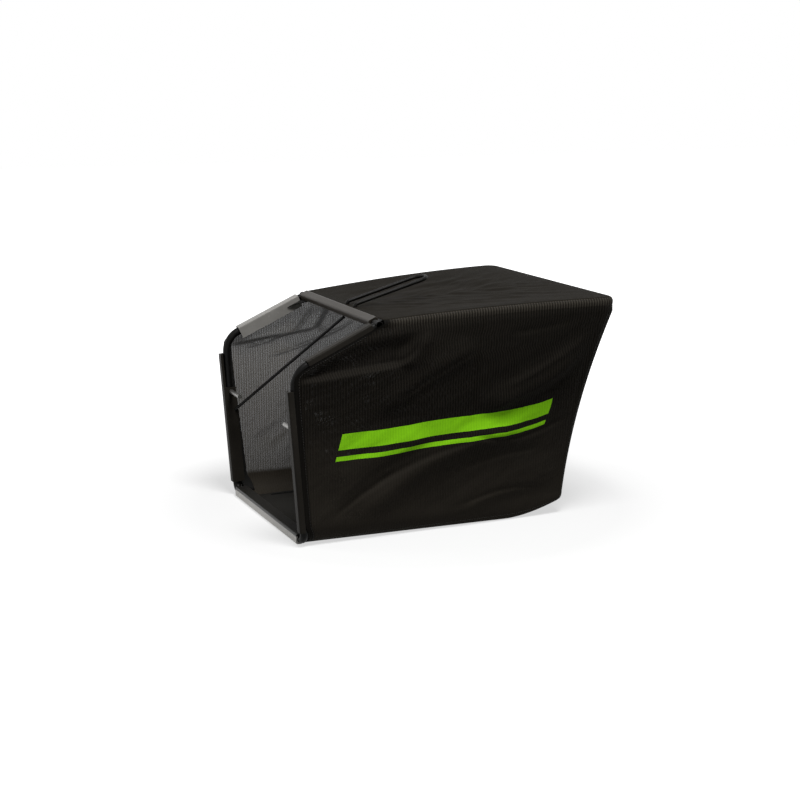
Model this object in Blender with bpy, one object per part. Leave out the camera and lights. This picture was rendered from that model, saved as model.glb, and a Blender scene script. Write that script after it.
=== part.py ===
"""Grass catcher for a walk-behind mower: a bent tube mouth frame with a sewn fabric bag.

Metres, +Z up. The mouth faces -Y and the bag runs back along +Y. The origin is on the
floor, under the middle of the bottom tube of the mouth.
"""

import math

import bmesh
import bpy
import numpy as np
from mathutils import Vector

for existing in list(bpy.data.objects):
    bpy.data.objects.remove(existing)

# Mouth frame, measured between the centre lines of its tubes
MOUTH_WIDTH = 0.330
SHOULDER_HEIGHT = 0.271
SHOULDER_LEAN = 0.015
CROSS_WIDTH = 0.324
CROSS_HEIGHT = 0.3345
CROSS_SETBACK = 0.124
TUBE_DIAMETER = 0.0127
TUBE_WALL = 0.0012
FOOT_BEND = 0.014
SHOULDER_BEND = 0.036
CROSS_OVERHANG = 0.0064

# Clip channels that hold the fabric on the tubes
CHANNEL_WALL = 0.0016
CHANNEL_FIT = 0.00035
CHANNEL_CORNER = 0.003
CHANNEL_GRIP = 0.001
FLANGE_REACH = 0.0122
BOTTOM_CHANNEL_LENGTH = 0.300
UPRIGHT_CHANNEL_LEAN = 0.020
CUTAWAY_ABOVE_PEG = 0.0032
CUTAWAY_REACH = 0.045
TOP_CHANNEL_LENGTH = 0.3028
TOP_CHANNEL_SHIFT = -0.0034
CHANNEL_END_GAP = 0.0012
SLOPE_CHANNEL_STOP = 0.0115

# Bag, outer sizes
REAR_TOP_WIDTH = 0.437
REAR_TOP_SETBACK = 0.5125
REAR_TOP_HEIGHT = 0.3615
REAR_BASE_WIDTH = 0.319
REAR_BASE_SETBACK = 0.452
REAR_BASE_HEIGHT = 0.023
REAR_MIDDLE_HEIGHT = 0.010
REAR_BELLY = 0.064
LOOP_CROWN = 1.8
FABRIC = 0.0012
FLOOR_ROUND_REACH = 0.034
FLOOR_ROUND_HEIGHT = 0.038
CORNER_ROUND_REACH = 0.006
CORNER_ROUND_HEIGHT = 0.014
REAR_ROUND_REACH = 0.034
LIFT_START = 0.350
LIFT_POWER = 1.7
REAR_CORNER_BASE = 0.0095
REAR_CORNER_TOP = 0.021
REAR_BULGE = 0.012
REAR_FOLD = 0.003
TOP_SAG = 0.007

# Hollow of a side under the slope of the mouth, and the shelf below it
HOLLOW_DEPTH = 0.011
HOLLOW_LENGTH = 0.163
SHELF_HEIGHT = 0.2535
SHELF_RISE = 0.105

# Folds of a side: front end, rear end (setback, height), bow, spread above and below, height
SIDE_FOLDS = (
    ((0.301, 0.194), (0.491, 0.296), -0.010, 0.024, 0.015, 0.009),
    ((0.097, 0.045), (0.360, 0.156), 0.020, 0.022, 0.022, 0.008),
    ((0.052, 0.074), (0.196, 0.156), 0.009, 0.030, 0.015, 0.004),
    ((0.245, 0.028), (0.444, 0.079), 0.000, 0.040, 0.015, 0.004),
    ((0.128, 0.205), (0.275, 0.290), 0.004, 0.026, 0.015, 0.005),
    ((0.158, 0.272), (0.195, 0.334), -0.006, 0.014, 0.014, 0.004),
)

# Loop that spreads the top of the bag
LOOP_DIAMETER = 0.0127
LOOP_CORNER = 0.015
LOOP_SEAT_SPAN = 0.272
LOOP_SEAT_DROP = 0.005
LOOP_JOGGLE = 0.055

# Carrying handle, brace and hanging pegs
HANDLE_ROD = 0.006
HANDLE_SPAN = 0.033
HANDLE_OFFSET = 0.0185
HANDLE_RISE_SETBACK = 0.014
HANDLE_RISE = 0.0142
HANDLE_END_SETBACK = 0.143
HANDLE_DROP = 0.0019
HANDLE_PITCH = math.radians(15.6)
HANDLE_BEND = 0.0048
BRACE_ROD = 0.005
BRACE_TOP_OFFSET = 0.040
BRACE_FOOT_HEIGHT = 0.1426
PEG_DIAMETER = 0.007
PEG_LENGTH = 0.048
PEG_HEIGHT = 0.181

# Tapes sewn inside the bag
TAPE = 0.0012
BINDING_WIDTH = 0.009
PATCH_SLOPE_LEG = 0.030
PATCH_CROSS_LEG = 0.026

# Gaps kept between pieces that touch, and along the seams
GAP = 0.0003
SEAM = 0.0004

TUBE_R = TUBE_DIAMETER / 2
LOOP_R = LOOP_DIAMETER / 2
CHANNEL_BORE = TUBE_R + CHANNEL_FIT
CHANNEL_HALF = CHANNEL_BORE + CHANNEL_WALL
BASE_HEIGHT = CHANNEL_HALF
HALF_MOUTH = MOUTH_WIDTH / 2
HALF_CROSS = CROSS_WIDTH / 2
SLEEVE_R = LOOP_R + GAP + FABRIC
LOOP_START = CROSS_SETBACK + TUBE_R + GAP
LOOP_REAR = REAR_TOP_SETBACK - SLEEVE_R
LOOP_FRONT_HALF = HALF_CROSS + CHANNEL_HALF - SLEEVE_R
LOOP_REAR_HALF = REAR_TOP_WIDTH / 2 - SLEEVE_R
FLOOR_SEAM_REAR = REAR_BASE_SETBACK - CORNER_ROUND_REACH

FOOT = np.array((HALF_MOUTH, 0.0, BASE_HEIGHT))
SHOULDER = np.array((HALF_MOUTH, -SHOULDER_LEAN, SHOULDER_HEIGHT))
CROSS = np.array((HALF_CROSS, CROSS_SETBACK, CROSS_HEIGHT))

# Angles round the sleeve, from the wall seam up to the top seam
SLEEVE_LOW = math.radians(-40)
SLEEVE_HIGH = math.radians(60)
# Angles round the loop between which the closing tape lies
TAPE_START = math.radians(-57)
TAPE_END = math.radians(-231)
SEAM_ANGLE = 2 * SEAM / SLEEVE_R


def unit(vector):
    vector = np.asarray(vector, float)
    return vector / np.linalg.norm(vector)


def smooth(x):
    x = np.clip(x, 0.0, 1.0)
    return x * x * (3 - 2 * x)


def mirrored(points):
    """The same points on the left side of the bag."""
    return np.asarray(points, float) * (-1, 1, 1)


UP_RIGHT = unit(SHOULDER - FOOT)
UP_SLOPE = unit(CROSS - SHOULDER)
INTO_BAG_SLOPE = unit((0, UP_SLOPE[2], -UP_SLOPE[1]))
DOWN_SLOPE = unit((0, -UP_SLOPE[1], -UP_SLOPE[2]))
UP_CHANNEL = unit((0, -UPRIGHT_CHANNEL_LEAN, SHOULDER_HEIGHT - BASE_HEIGHT))
INTO_BAG_CHANNEL = unit((0, UP_CHANNEL[2], -UP_CHANNEL[1]))


def material(name, colour, roughness, metallic=0.0):
    made = bpy.data.materials.get(name)
    if made:
        return made
    made = bpy.data.materials.new(name)
    made.use_nodes = True
    shader = made.node_tree.nodes["Principled BSDF"]
    shader.inputs["Base Color"].default_value = (*colour, 1)
    shader.inputs["Roughness"].default_value = roughness
    shader.inputs["Metallic"].default_value = metallic
    return made


def black_steel():
    return material("black_steel", (0.018, 0.017, 0.016), 0.38, 0.3)


def bright_steel():
    return material("bright_steel", (0.55, 0.55, 0.54), 0.35, 0.9)


def grey_plastic():
    return material("grey_plastic", (0.105, 0.1, 0.095), 0.42)


def side_mesh():
    return material("side_mesh", (0.014, 0.013, 0.011), 0.85)


def top_cloth():
    return material("top_cloth", (0.035, 0.032, 0.028), 0.8)


def floor_cloth():
    return material("floor_cloth", (0.03, 0.029, 0.027), 0.6)


def black_tape():
    return material("black_tape", (0.011, 0.011, 0.01), 0.8)


def add_object(name, vertices, faces, finish, round_piece=False):
    """One named solid from its points and faces, with its faces turned outwards."""
    mesh = bpy.data.meshes.new(name)
    mesh.from_pydata([tuple(float(c) for c in v) for v in vertices], [], faces)
    shape = bmesh.new()
    shape.from_mesh(mesh)
    bmesh.ops.recalc_face_normals(shape, faces=shape.faces)
    if shape.calc_volume(signed=True) < 0:
        bmesh.ops.reverse_faces(shape, faces=shape.faces)
    shape.to_mesh(mesh)
    shape.free()
    if round_piece:
        mesh.shade_smooth()
        mesh.set_sharp_from_angle(angle=math.radians(40))
    mesh.materials.append(finish)
    made = bpy.data.objects.new(name, mesh)
    bpy.context.scene.collection.objects.link(made)
    return made


def bent_path(corners, radii, steps=5):
    """A path through the corners, with an arc of its own radius at each inner one."""
    corners = [np.asarray(c, float) for c in corners]
    path = [corners[0]]
    for before, corner, after, radius in zip(corners, corners[1:], corners[2:], radii):
        arrive, leave = unit(corner - before), unit(after - corner)
        turn = math.acos(float(np.clip(arrive @ leave, -1, 1)))
        start = corner - arrive * radius * math.tan(turn / 2)
        centre_way = unit(leave - arrive * (arrive @ leave))
        centre = start + centre_way * radius
        for k in range(steps + 1):
            angle = turn * k / steps
            path.append(centre - centre_way * radius * math.cos(angle) + arrive * radius * math.sin(angle))
    path.append(corners[-1])
    return np.array(path)


def rings_along(path, radius, sides):
    """Circles round each point of a path, turned along it without twist."""
    steps = np.diff(path, axis=0)
    steps /= np.linalg.norm(steps, axis=1)[:, None]
    tangents = np.vstack([steps[:1], steps[:-1] + steps[1:], steps[-1:]])
    tangents /= np.linalg.norm(tangents, axis=1)[:, None]
    side = Vector(tangents[0]).orthogonal().normalized()
    rings = []
    for k, (point, tangent) in enumerate(zip(path, tangents)):
        if k:
            turn = Vector(tangents[k - 1]).rotation_difference(Vector(tangent))
            side = (turn @ side).normalized()
        across = Vector(tangent).cross(side)
        ring = []
        for n in range(sides):
            angle = 2 * math.pi * (n + 0.5) / sides
            ring.append(point + radius * np.array(side * math.cos(angle) + across * math.sin(angle)))
        rings.append(ring)
    return rings


def wrap_faces(count, sides, start=0):
    """Faces between rings of points that follow one another."""
    faces = []
    for k in range(count - 1):
        for n in range(sides):
            m = (n + 1) % sides
            a, b = start + k * sides, start + (k + 1) * sides
            faces.append((a + n, a + m, b + m, b + n))
    return faces


def rod(name, path, radius, finish, sides=10):
    """A solid round rod along a path."""
    rings = rings_along(np.asarray(path), radius, sides)
    points = [p for ring in rings for p in ring]
    faces = wrap_faces(len(rings), sides)
    faces.append(tuple(range(sides)))
    faces.append(tuple(range((len(rings) - 1) * sides, len(rings) * sides)))
    return add_object(name, points, faces, finish, True)


def pipe(name, path, radius, wall, finish, sides=12):
    """A round tube with open ends along a path."""
    outer = rings_along(np.asarray(path), radius, sides)
    inner = rings_along(np.asarray(path), radius - wall, sides)
    count = len(outer)
    points = [p for ring in outer + inner for p in ring]
    faces = wrap_faces(count, sides) + wrap_faces(count, sides, count * sides)
    for k in (0, count - 1):
        for n in range(sides):
            m = (n + 1) % sides
            a, b = k * sides, (count + k) * sides
            faces.append((a + n, a + m, b + m, b + n))
    return add_object(name, points, faces, finish, True)


def channel_profile(flange):
    """Section of a clip channel: (towards the inside of the mouth, towards the bag)."""
    half, corner = CHANNEL_HALF, CHANNEL_CORNER
    section = [(-half, CHANNEL_GRIP)]
    for centre_x, first in ((-half + corner, 180), (half - corner, 270)):
        for k in range(4):
            angle = math.radians(first + 30 * k)
            x = centre_x + corner * math.cos(angle)
            section.append((x, -half + corner + corner * math.sin(angle)))
    section += [(half, flange), (half - CHANNEL_WALL, flange)]
    for k in range(9):
        angle = math.radians(-22.5 * k)
        section.append((CHANNEL_BORE * math.cos(angle), CHANNEL_BORE * math.sin(angle)))
    section.append((-half + CHANNEL_WALL, CHANNEL_GRIP))
    return section


def channel(name, start, end, inwards, into_bag, flange=FLANGE_REACH):
    """A clip channel along a straight tube, open towards the bag."""
    inwards, into_bag = np.asarray(inwards, float), np.asarray(into_bag, float)
    section = channel_profile(flange)
    points = [p + inwards * s + into_bag * t for p in (start, end) for s, t in section]
    count = len(section)
    faces = wrap_faces(2, count)
    faces += [tuple(range(count)), tuple(range(count, 2 * count))]
    return add_object(name, points, faces, grey_plastic())


def cut_hole(target, name, start, end, radius):
    """Cuts a round hole through the target; the cutter stays as a hidden guide."""
    subtract(target, rod(name, (start, end), radius, black_tape(), 12))


def subtract(target, cutter):
    """Takes the cutter's shape out of the target; the cutter stays as a hidden guide."""
    cutter.hide_render = True
    cutter.display_type = "WIRE"
    modifier = target.modifiers.new("hole", "BOOLEAN")
    modifier.operation = "DIFFERENCE"
    modifier.solver = "EXACT"
    modifier.object = cutter


def grid_normals(grid):
    """Outward normals of a grid of points on the bag."""
    along = np.gradient(grid, axis=0)
    across = np.gradient(grid, axis=1)
    normals = np.cross(across, along)
    normals /= np.linalg.norm(normals, axis=2)[:, :, None]
    outwards = grid - np.array((0.0, 0.25, 0.17))
    return normals if (normals * outwards).sum() > 0 else -normals


def sheet(name, outer, finish, thickness=FABRIC, inner=None):
    """A sheet of fabric from the grid of its outer face, with its thickness inwards."""
    outer = np.asarray(outer, float)
    rows, columns = outer.shape[:2]
    if inner is None:
        inner = outer - grid_normals(outer) * thickness
    points = list(outer.reshape(-1, 3)) + list(inner.reshape(-1, 3))
    offset = rows * columns
    faces = []
    for r in range(rows - 1):
        for c in range(columns - 1):
            a = r * columns + c
            quad = (a, a + 1, a + columns + 1, a + columns)
            faces.append(quad)
            faces.append(tuple(offset + n for n in reversed(quad)))
    rim = list(range(columns))
    rim += [r * columns + columns - 1 for r in range(1, rows)]
    rim += [(rows - 1) * columns + c for c in range(columns - 2, -1, -1)]
    rim += [r * columns for r in range(rows - 2, 0, -1)]
    for a, b in zip(rim, rim[1:] + rim[:1]):
        faces.append((b, a, offset + a, offset + b))
    return add_object(name, points, faces, finish, True)


def behind(grid, depth):
    """The same grid moved inwards by a depth."""
    return grid - grid_normals(grid) * depth


def along_bag(y):
    """Share of the way from the cross tube to the rear of the loop."""
    return np.clip((y - LOOP_START) / (LOOP_REAR - LOOP_START), 0.0, 1.0)


def loop_height(y):
    """Height of the centre line of the loop over its length."""
    rise = REAR_TOP_HEIGHT - SLEEVE_R - CROSS_HEIGHT
    return CROSS_HEIGHT + rise * (1 - (1 - along_bag(y)) ** LOOP_CROWN)


def lift(y, end=FLOOR_SEAM_REAR):
    """Share by which the base has risen off the floor towards the rear."""
    return np.clip((y - LIFT_START) / (end - LIFT_START), 0.0, 1.0) ** LIFT_POWER


def mouth_y(z):
    """Front edge of the side fabric, just behind the outer wall of the channels."""
    seat = CHANNEL_GRIP + GAP
    upright = (z - BASE_HEIGHT) * UP_CHANNEL[1] / UP_CHANNEL[2] + seat / UP_CHANNEL[2]
    slope_seat = SHOULDER + INTO_BAG_SLOPE * seat
    slope = slope_seat[1] + (z - slope_seat[2]) * UP_SLOPE[1] / UP_SLOPE[2]
    blend = 0.012
    edge = 0.5 * (upright + slope + math.sqrt((upright - slope) ** 2 + blend**2))
    clear_of_foot = BASE_HEIGHT + FOOT_BEND + TUBE_DIAMETER
    edge += (TUBE_R + GAP) * float(smooth(1.6 * (1 - z / clear_of_foot)))
    return min(edge, LOOP_START + 4 * GAP)


def rear_y(z):
    """Setback of the rear wall at a height."""
    v = (z - REAR_BASE_HEIGHT) / (REAR_TOP_HEIGHT - SLEEVE_R - REAR_BASE_HEIGHT)
    return REAR_BASE_SETBACK + REAR_BELLY * (0.1 * v + 0.95 * v**2)


def rear_x(z):
    """Half width of the rear corners at a height."""
    v = (z - REAR_BASE_HEIGHT) / (REAR_TOP_HEIGHT - SLEEVE_R - REAR_BASE_HEIGHT)
    return REAR_BASE_WIDTH / 2 + (REAR_TOP_WIDTH - REAR_BASE_WIDTH) / 2 * v


def front_x(z):
    """Half width of the side fabric at the mouth, flush with the channels."""
    up = np.clip((z - SHOULDER_HEIGHT) / (CROSS_HEIGHT - SHOULDER_HEIGHT), 0, 1)
    return HALF_MOUTH + CHANNEL_HALF - (HALF_MOUTH - HALF_CROSS) * up


def corner_curve(front, corner, radius, share, turned):
    """Plan point and outward direction on a line that bends round a rear corner."""
    front, corner = np.asarray(front, float), np.asarray(corner, float)
    heading, rearwards = unit(corner - front), np.array((-1.0, 0.0))
    turn = math.acos(float(heading @ rearwards))
    start = corner - heading * radius * math.tan(turn / 2)
    outwards = np.array((heading[1], -heading[0]))
    if turned <= 0:
        return front + (start - front) * share, outwards
    angle = turn * turned
    centre = start - outwards * radius
    way = outwards * math.cos(angle) + heading * math.sin(angle)
    return centre + way * radius, way


def fold(y, z, front, rear, bow, above, below, height):
    """A soft ridge of cloth from its front end to its rear end, with its own spread to each side."""
    (y0, z0), (y1, z1) = front, rear
    length = math.hypot(y1 - y0, z1 - z0)
    along = ((y - y0) * (y1 - y0) + (z - z0) * (z1 - z0)) / length**2
    off = ((z - z0) * (y1 - y0) - (y - y0) * (z1 - z0)) / length
    off -= 4 * bow * along * (1 - along)
    fade = smooth(along * 4 + 0.4) * smooth((1 - along) * 4 + 0.4)
    return height * math.exp(-((off / (above if off > 0 else below)) ** 2)) * float(fade)


def hollow(y, z):
    """Share of the hollow under a slope: deepest over a shelf, and nothing at the slope."""
    below_slope = SHOULDER[2] + (y - SHOULDER[1]) * UP_SLOPE[2] / UP_SLOPE[1] - z
    over_shelf = z - (SHELF_HEIGHT + SHELF_RISE * y)
    before_arc = HOLLOW_LENGTH + 0.6 * (z - SHOULDER_HEIGHT) - y
    closing = smooth(below_slope / max(0.012, 0.75 * (below_slope + over_shelf)))
    return float(closing * smooth(over_shelf / 0.010) * smooth(before_arc / 0.025))


def side_folds(y, z):
    """How far the folds of a side panel stand out of its plain form."""
    return -HOLLOW_DEPTH * hollow(y, z) + sum(fold(y, z, *one) for one in SIDE_FOLDS)


# Rows of the side and rear panels, from the floor seam up to the top seam
FLOOR_ROWS = [("floor", math.radians(a)) for a in (0, 22, 45, 67)]
WALL_ROWS = [("wall", v) for v in np.linspace(0.0, 0.955, 14)]
SLEEVE_ROWS = [("sleeve", a) for a in np.linspace(SLEEVE_LOW, SLEEVE_HIGH, 5)]
PANEL_ROWS = FLOOR_ROWS + WALL_ROWS + SLEEVE_ROWS


def loop_plan(share, turned, y_front=LOOP_START):
    """Plan point and outward direction on the centre line of the loop."""
    front, corner = (LOOP_FRONT_HALF, LOOP_START), (LOOP_REAR_HALF, LOOP_REAR)
    if turned > 0:
        return corner_curve(front, corner, LOOP_CORNER, 1.0, turned)
    bend_start, outwards = corner_curve(front, corner, LOOP_CORNER, 1.0, 0.0)
    y = y_front + (bend_start[1] - y_front) * share
    along = max(0.0, (y - LOOP_START) / (bend_start[1] - LOOP_START))
    x = LOOP_FRONT_HALF + (bend_start[0] - LOOP_FRONT_HALF) * along
    return np.array((x, y)), outwards


def loop_line(share, turned):
    """A point on the centre line of the loop."""
    plan, outwards = loop_plan(share, turned)
    return np.array((plan[0], plan[1], float(loop_height(plan[1]))))


def sleeve_point(angle, share, turned, across=None):
    """A point of the sleeve round the loop, at an angle of its section."""
    height = CROSS_HEIGHT + SLEEVE_R * math.sin(angle)
    y_front = mouth_y(height) if abs(angle) < math.pi / 2 and math.cos(angle) > 0.49 else LOOP_START
    plan, outwards = loop_plan(share, turned, y_front)
    if across is not None:
        plan = plan * (across, 1)
        outwards = np.array((0.0, 1.0))
    reach = math.cos(angle)
    if SLEEVE_LOW - 0.01 < angle < 0:
        reach = 1 + (reach - 1) * float(smooth((plan[1] - LOOP_START) / 0.025))
    plan_out = plan + outwards * SLEEVE_R * reach
    z = float(loop_height(plan[1])) + SLEEVE_R * math.sin(angle)
    return np.array((plan_out[0], plan_out[1], z))


def floor_round_reach(y):
    """How far the lower edge of a side is turned in under the bag, less towards the rear."""
    share = min(1.0, max(0.0, y / FLOOR_SEAM_REAR))
    return FLOOR_ROUND_REACH + (CORNER_ROUND_REACH - FLOOR_ROUND_REACH) * share


def wall_heights(y, across):
    """Height of the base, height of the round above it, and height of the seat of the sleeve."""
    middle = 1 - abs(across) ** 2.5
    risen = float(lift(y))
    base = REAR_BASE_HEIGHT + (REAR_MIDDLE_HEIGHT - REAR_BASE_HEIGHT) * middle
    low_height = FLOOR_ROUND_HEIGHT + (CORNER_ROUND_HEIGHT - FLOOR_ROUND_HEIGHT) * (1 - middle)
    base *= risen
    round_height = FLOOR_ROUND_HEIGHT + (low_height - FLOOR_ROUND_HEIGHT) * risen
    top = float(loop_height(y)) + SLEEVE_R * math.sin(SLEEVE_LOW)
    return base, round_height, top


def wall_point(v, share, turned, across=1.0):
    """A point of the plain wall at a share v of its height, and the way out of the bag."""
    base, round_height, top = wall_heights(0.0, 1.0)
    z_front = base + round_height + (top - base - round_height) * v
    base, round_height, top = wall_heights(LOOP_REAR, across)
    z_rear = base + round_height + (top - base - round_height) * v
    radius = REAR_CORNER_BASE + (REAR_CORNER_TOP - REAR_CORNER_BASE) * v
    front = (front_x(z_front), mouth_y(z_front))
    corner = (rear_x(z_rear), rear_y(z_rear))
    plan, outwards = corner_curve(front, corner, radius, share, turned)
    if turned <= 0:
        base, round_height, top = wall_heights(plan[1], 1.0)
    z = base + round_height + (top - base - round_height) * v
    return np.array((plan[0], plan[1], z)), np.array((outwards[0], outwards[1], 0.0))


def side_point(row, share, turned):
    """A point of the outer face of the right side panel."""
    kind, value = row
    if kind == "sleeve":
        return sleeve_point(value, share, turned)
    v = value if kind == "wall" else 0.0
    point, outwards = wall_point(v, share, turned)
    edge = float(smooth(share / 0.08) * smooth((1 - share) / 0.10)) * (turned <= 0)
    edge *= float(smooth((0.98 - v) / 0.09))
    if kind == "floor":
        base, round_height, _ = wall_heights(point[1], 1.0)
        reach = floor_round_reach(point[1])
        point[2] = base + round_height * (1 - math.cos(value))
        front_z = FLOOR_ROUND_HEIGHT * (1 - math.cos(value))
        point[1] += (mouth_y(front_z) - mouth_y(FLOOR_ROUND_HEIGHT)) * (1 - share) ** 3 * (turned <= 0)
        point -= outwards * reach * (1 - math.sin(value))
        edge *= math.sin(value)
    return point + outwards * side_folds(point[1], point[2]) * edge


def rear_point(row, across, turned):
    """A point of the outer face of the rear panel; across runs from 1 at the right to -1."""
    kind, value = row
    side = math.copysign(1.0, across)
    if kind == "sleeve":
        if turned < 1:
            return sleeve_point(value, 1.0, turned) * (side, 1, 1)
        return sleeve_point(value, 1.0, 1.0, across=across)
    v = value if kind == "wall" else 0.0
    inner = across if turned >= 1 else 1.0
    point, outwards = wall_point(v, 1.0, min(turned, 1.0), inner)
    loose = (1 - inner**2) * math.sin(math.pi * v) ** 0.7 * (turned >= 1)
    point[1] += REAR_BULGE * loose + REAR_FOLD * loose * math.sin(9.0 * across + 2.0 * v)
    if kind == "floor":
        middle = 1 - abs(inner) ** 2.5
        base, round_height, _ = wall_heights(LOOP_REAR, inner)
        reach = CORNER_ROUND_REACH + (REAR_ROUND_REACH - CORNER_ROUND_REACH) * middle
        point[2] = base + round_height * (1 - math.cos(value))
        point -= outwards * reach * (1 - math.sin(value))
    if turned >= 1:
        return point * (across, 1, 1)
    return point * (side, 1, 1)


def row_radius(row):
    """Radius of a row of fabric round a rear corner."""
    kind, value = row
    if kind == "sleeve":
        return LOOP_CORNER + SLEEVE_R * math.cos(value)
    v = value if kind == "wall" else 0.0
    radius = REAR_CORNER_BASE + (REAR_CORNER_TOP - REAR_CORNER_BASE) * v
    return radius - (CORNER_ROUND_REACH * (1 - math.sin(value)) if kind == "floor" else 0)


def seam_turn(row, offset):
    """Share of a rear corner bend that lies an offset away from its middle."""
    return 0.5 + offset / (row_radius(row) * 1.69)


FLOOR_SEAM_ROW = FLOOR_ROWS[0]
HEM_SHARES = (0.020, 0.030, 0.045, 0.063)
SIDE_SHARES = (0.0, 0.010, *HEM_SHARES, *np.linspace(0.09, 1.0, 19))
BOTTOM_COLUMNS = (0.0, 0.25, 0.48, 0.68, 0.82, 0.90, 0.925, 0.955, 0.98, 1.0)


def rear_line(row):
    """One row of the rear panel, from the middle of the right corner to that of the left."""
    first = seam_turn(row, SEAM / 2)
    bend = [rear_point(row, 1.0, first + (0.999 - first) * f) for f in (0.0, 0.33, 0.67)]
    flat = [rear_point(row, a, 1.0) for a in np.linspace(1.0, -1.0, 14)]
    return bend + flat + [p * (-1, 1, 1) for p in reversed(bend)]


def rear_panel():
    """Rear wall of mesh fabric between the two rear corners."""
    return sheet("rear_panel", np.array([rear_line(row) for row in PANEL_ROWS]), side_mesh())


def side_line(row):
    """One row of the right side panel, from the mouth to the middle of the rear corner."""
    last = seam_turn(row, -SEAM / 2)
    line = [side_point(row, s, 0.0) for s in SIDE_SHARES]
    return line + [side_point(row, 1.0, last * f) for f in (0.33, 0.67, 1.0)]


def side_panel(name, left):
    """Side of mesh fabric: wall, lower edge turned under, upper edge wrapped over the loop."""
    grid = np.array([side_line(row) for row in PANEL_ROWS])
    return sheet(name, mirrored(grid) if left else grid, side_mesh())


def bottom_grid():
    """Outer face of the bottom panel, flat on the floor and lifted towards the rear."""
    seam = np.array(side_line(FLOOR_SEAM_ROW))
    rear_seam = np.array(rear_line(FLOOR_SEAM_ROW))[::-1]
    columns = [-c for c in reversed(BOTTOM_COLUMNS[1:])] + list(BOTTOM_COLUMNS)
    grid = []
    for s in columns:
        recess = float(smooth((abs(s) - 0.89) / 0.10)) * (TUBE_R + GAP)
        front = CHANNEL_GRIP + GAP + recess
        half = seam[-1, 0] - 2 * SEAM
        for _ in range(6):
            rear = float(np.interp(s * half, rear_seam[:, 0], rear_seam[:, 1])) - 2 * SEAM
            if abs(s) == 1.0:
                rear = seam[-1, 1] - 2 * SEAM
            else:
                half = float(np.interp(rear, seam[:, 1], seam[:, 0])) - SEAM
        line = []
        for q in np.concatenate([np.linspace(0, 0.72, 8), np.linspace(0.76, 1, 7)]):
            y = front + (rear - front) * q
            half = float(np.interp(y, seam[:, 1], seam[:, 0])) - 2 * SEAM
            corner = abs(s) ** 2.5
            height = REAR_MIDDLE_HEIGHT + (REAR_BASE_HEIGHT - REAR_MIDDLE_HEIGHT) * corner
            line.append((s * half, y, height * float(lift(y, rear))))
        grid.append(line)
    return np.array(grid).transpose(1, 0, 2), columns


def bottom_panel():
    """Bottom of coated cloth."""
    return sheet("bottom_panel", bottom_grid()[0], floor_cloth())


def floor_binding(name, left):
    """Tape over the seam between the bottom and a side, on the inside."""
    grid, columns = bottom_grid()
    first, last = columns.index(0.925), columns.index(0.98)
    tape = behind(grid, FABRIC + GAP)[1:-1, first : last + 1]
    return sheet(name, mirrored(tape) if left else tape, black_tape(), TAPE)


def top_panel():
    """Top of finer cloth, wrapped over the loop at both sides and at the rear."""
    tilt = math.atan((LOOP_REAR_HALF - LOOP_FRONT_HALF) / (LOOP_REAR - LOOP_START))
    outwards = np.array((math.cos(tilt), -math.sin(tilt)))
    corner = np.array((LOOP_REAR_HALF, LOOP_REAR))
    setback = LOOP_CORNER * math.tan((math.pi / 2 + tilt) / 2)
    bend_start = corner - np.array((math.sin(tilt), math.cos(tilt))) * setback
    centre = bend_start - outwards * LOOP_CORNER
    edges = [SLEEVE_R * math.cos(a) for a in (math.radians(76), SLEEVE_HIGH + SEAM_ANGLE)]
    rings = [LOOP_CORNER * 0.35, LOOP_CORNER * 0.7, LOOP_CORNER] + [LOOP_CORNER + e for e in edges]
    front = LOOP_START + GAP
    rows = [(y, 0.0) for y in np.linspace(front, bend_start[1], 13)] + [(bend_start[1], r) for r in rings]
    columns = [(s, 0.0) for s in np.linspace(0, 1, 8)] + [(1.0, r) for r in rings]
    grid = []
    for y_row, deep in rows:
        straight = (y_row - front) / (bend_start[1] - front)
        fade = float(smooth(straight / 0.08))
        out = unit((outwards[0], outwards[1] * fade))
        line_x = LOOP_FRONT_HALF + (y_row - LOOP_START) * math.tan(tilt)
        line = []
        for s, wide in columns:
            if deep == 0.0:
                inner = np.array((line_x, y_row)) - out * LOOP_CORNER
                plan = np.array((inner[0] * s, y_row + (inner[1] - y_row) * s)) + out * wide
            elif wide == 0.0:
                plan = np.array((centre[0] * s, centre[1] + deep))
            else:
                share = 0.5 * deep / wide if wide >= deep else 1 - 0.5 * wide / deep
                angle = -tilt + share * (math.pi / 2 + tilt)
                plan = centre + max(wide, deep) * np.array((math.cos(angle), math.sin(angle)))
            over = max(0.0, max(wide, deep) - LOOP_CORNER)
            height = float(loop_height(plan[1])) + math.sqrt(SLEEVE_R**2 - over**2)
            slack = (1 - s**2) * math.sin(math.pi * min(1.0, straight)) if deep == 0.0 else 0.0
            height -= TOP_SAG * slack
            line.append((plan[0], plan[1], height))
        grid.append([(-x, y, z) for x, y, z in reversed(line[1:])] + line)
    panel = sheet("top_panel", np.array(grid), top_cloth())
    for side, x in (("right", HANDLE_OFFSET + HANDLE_SPAN / 2), ("left", HANDLE_OFFSET - HANDLE_SPAN / 2)):
        y = CROSS_SETBACK + HANDLE_RISE_SETBACK
        low, high = CROSS_HEIGHT + 0.002, CROSS_HEIGHT + 0.014
        cut_hole(panel, "handle_hole_" + side, (x, y, low), (x, y, high), HANDLE_ROD / 2 + 2 * GAP)
    return panel


def mouth_hem(name, left):
    """Tape inside the side panel, along its edge behind the upright channel."""
    rows = [row for row in WALL_ROWS if row[1] < 0.72]
    grid = np.array([[side_point(row, s, 0.0) for s in SIDE_SHARES] for row in rows])
    tape = behind(grid, FABRIC + GAP)[:, 2:6]
    return sheet(name, mirrored(tape) if left else tape, black_tape(), TAPE)


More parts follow.
